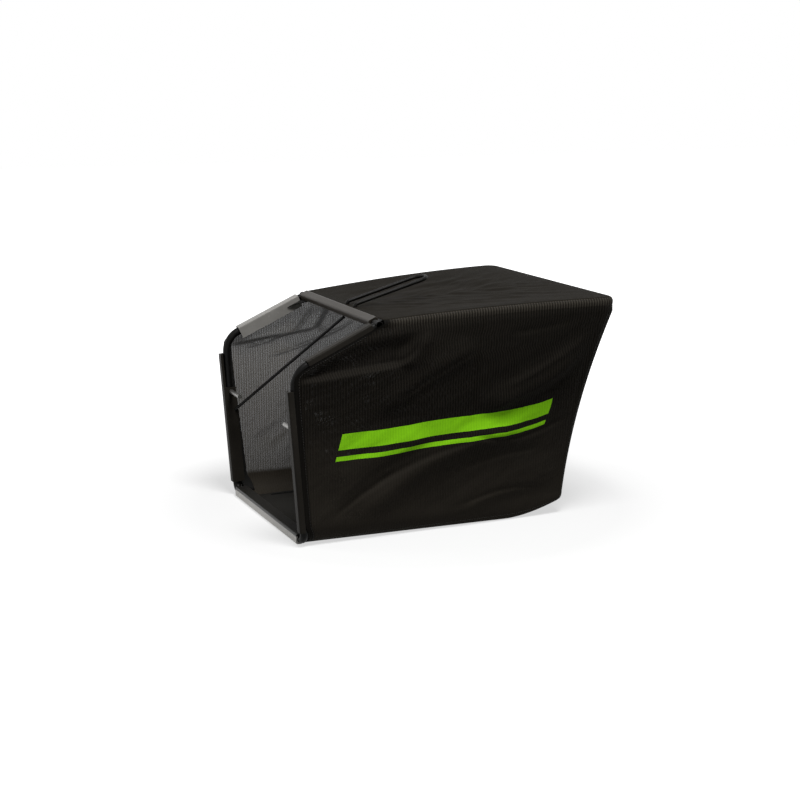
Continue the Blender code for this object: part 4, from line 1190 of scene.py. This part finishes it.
# %% Pieces kept from the frame
FINISH_BY_WORD = {
    "bottom_channel": painted_reflection_plastic,
    "slope_channel_left": painted_highlight_plastic,
    "top_channel": warm_plastic,
    "channel": dark_plastic,
    "peg": zinc,
    **dict.fromkeys(("cross_tube", "top_loop", "brace_rod"), black_powder_coat),
    **dict.fromkeys(("binding", "sleeve", "patch"), black_webbing),
}
KEPT = {}
for word, finish in FINISH_BY_WORD.items():
    for name in nodes:
        if word in name:
            KEPT.setdefault(name, finish)
for name, finish in KEPT.items():
    piece = nodes[name]
    piece.data.materials.clear()
    piece.data.materials.append(finish)
    weld = piece.modifiers.new("weld", "WELD")
    weld.merge_threshold = 0.00001
    if "channel" in name:
        edge = piece.modifiers.new("edge", "BEVEL")
        edge.width = 0.0003
        edge.segments = 2
        edge.limit_method = "ANGLE"
        edge.angle_limit = radians(35)
print("kept from the frame:", len(KEPT))

# %% [markdown]
# ## Area of the cloth
# The area of the right side cloth and of the rear cloth is printed.


# %% Area of the cloth
def cloth_area(piece):
    return sum(face.area for face in piece.data.polygons)


print("side cloth", round(cloth_area(right_wall), 4), "m2, rear", round(cloth_area(rear_wall), 4), "m2")

# %% [markdown]
# ## Floor, sky and lamps
# A plain studio: a pale floor, an even pale sky and soft lamps. What the camera and
# mirror-like reflections see of the sky is white. The floor takes some extra white for
# the camera alone, more of it away from the bag, so that it meets the sky without a
# line and still keeps the soft shadow under the bag. The large lamp hangs over the bag
# and a little to its right, which leaves the lower flank of each fold dark.


# %% Floor, sky and lamps
AMBIENT, FLOOR_GREY = 0.14, 0.32
FLOOR_WHITE, WHITER_FROM, WHITER_BY = 0.62, 0.35, 0.8


def seen_directly(tree):
    """1 for what the camera and reflections see, 0 for light on the object."""
    path = add_node(tree, "LightPath")
    seen = maths(tree, "MAXIMUM", path.outputs["Is Camera Ray"], path.outputs["Is Glossy Ray"])
    return maths(tree, "MAXIMUM", seen, path.outputs["Is Transmission Ray"])


world = bpy.data.worlds.new("studio")
studio.world = world
world.use_nodes = True
sky = world.node_tree
background = sky.nodes["Background"]
background.inputs["Color"].default_value = (1, 1, 1, 1)
strength = maths(sky, "MULTIPLY_ADD", seen_directly(sky), 1 - AMBIENT, AMBIENT)
sky.links.new(strength, background.inputs["Strength"])

floor_mesh = bpy.data.meshes.new("floor")
floor_mesh.from_pydata([(-8, -8, 0), (8, -8, 0), (8, 8, 0), (-8, 8, 0)], [], [(0, 1, 2, 3)])
floor = put_in_scene("floor", floor_mesh)
floor.location = (0.0, 0.25, -0.0005)
paper, tree, shader = new_finish("paper", 0.9, 0.0, 0.0)
shader.inputs["Base Color"].default_value = (FLOOR_GREY, FLOOR_GREY, FLOOR_GREY, 1)
shader.inputs["Emission Color"].default_value = (1, 1, 1, 1)
distance = add_node(tree, "VectorMath", {0: on_object(tree)}, operation="LENGTH").outputs["Value"]
far_off = maths(tree, "SUBTRACT", distance, WHITER_FROM, clamp=True)
extra = maths(tree, "MULTIPLY_ADD", far_off, WHITER_BY, FLOOR_WHITE)
tree.links.new(product(tree, seen_directly(tree), extra), shader.inputs["Emission Strength"])
floor_mesh.materials.append(paper)


def soft_lamp(name, place, target, size, power):
    data = bpy.data.lights.new(name, "AREA")
    data.shape = "SQUARE"
    data.size = size
    data.energy = power
    lamp = put_in_scene(name, data)
    lamp.location = place
    lamp.rotation_euler = (Vector(target) - Vector(place)).to_track_quat("-Z", "Y").to_euler()


soft_lamp("lamp_over", (0.95, 0.15, 2.25), (0, 0.2, 0.2), 0.8, 58)
soft_lamp("lamp_front", (-1.2, -2.2, 1.2), (0, 0.1, 0.15), 1.0, 16)
studio.view_settings.view_transform = "Standard"
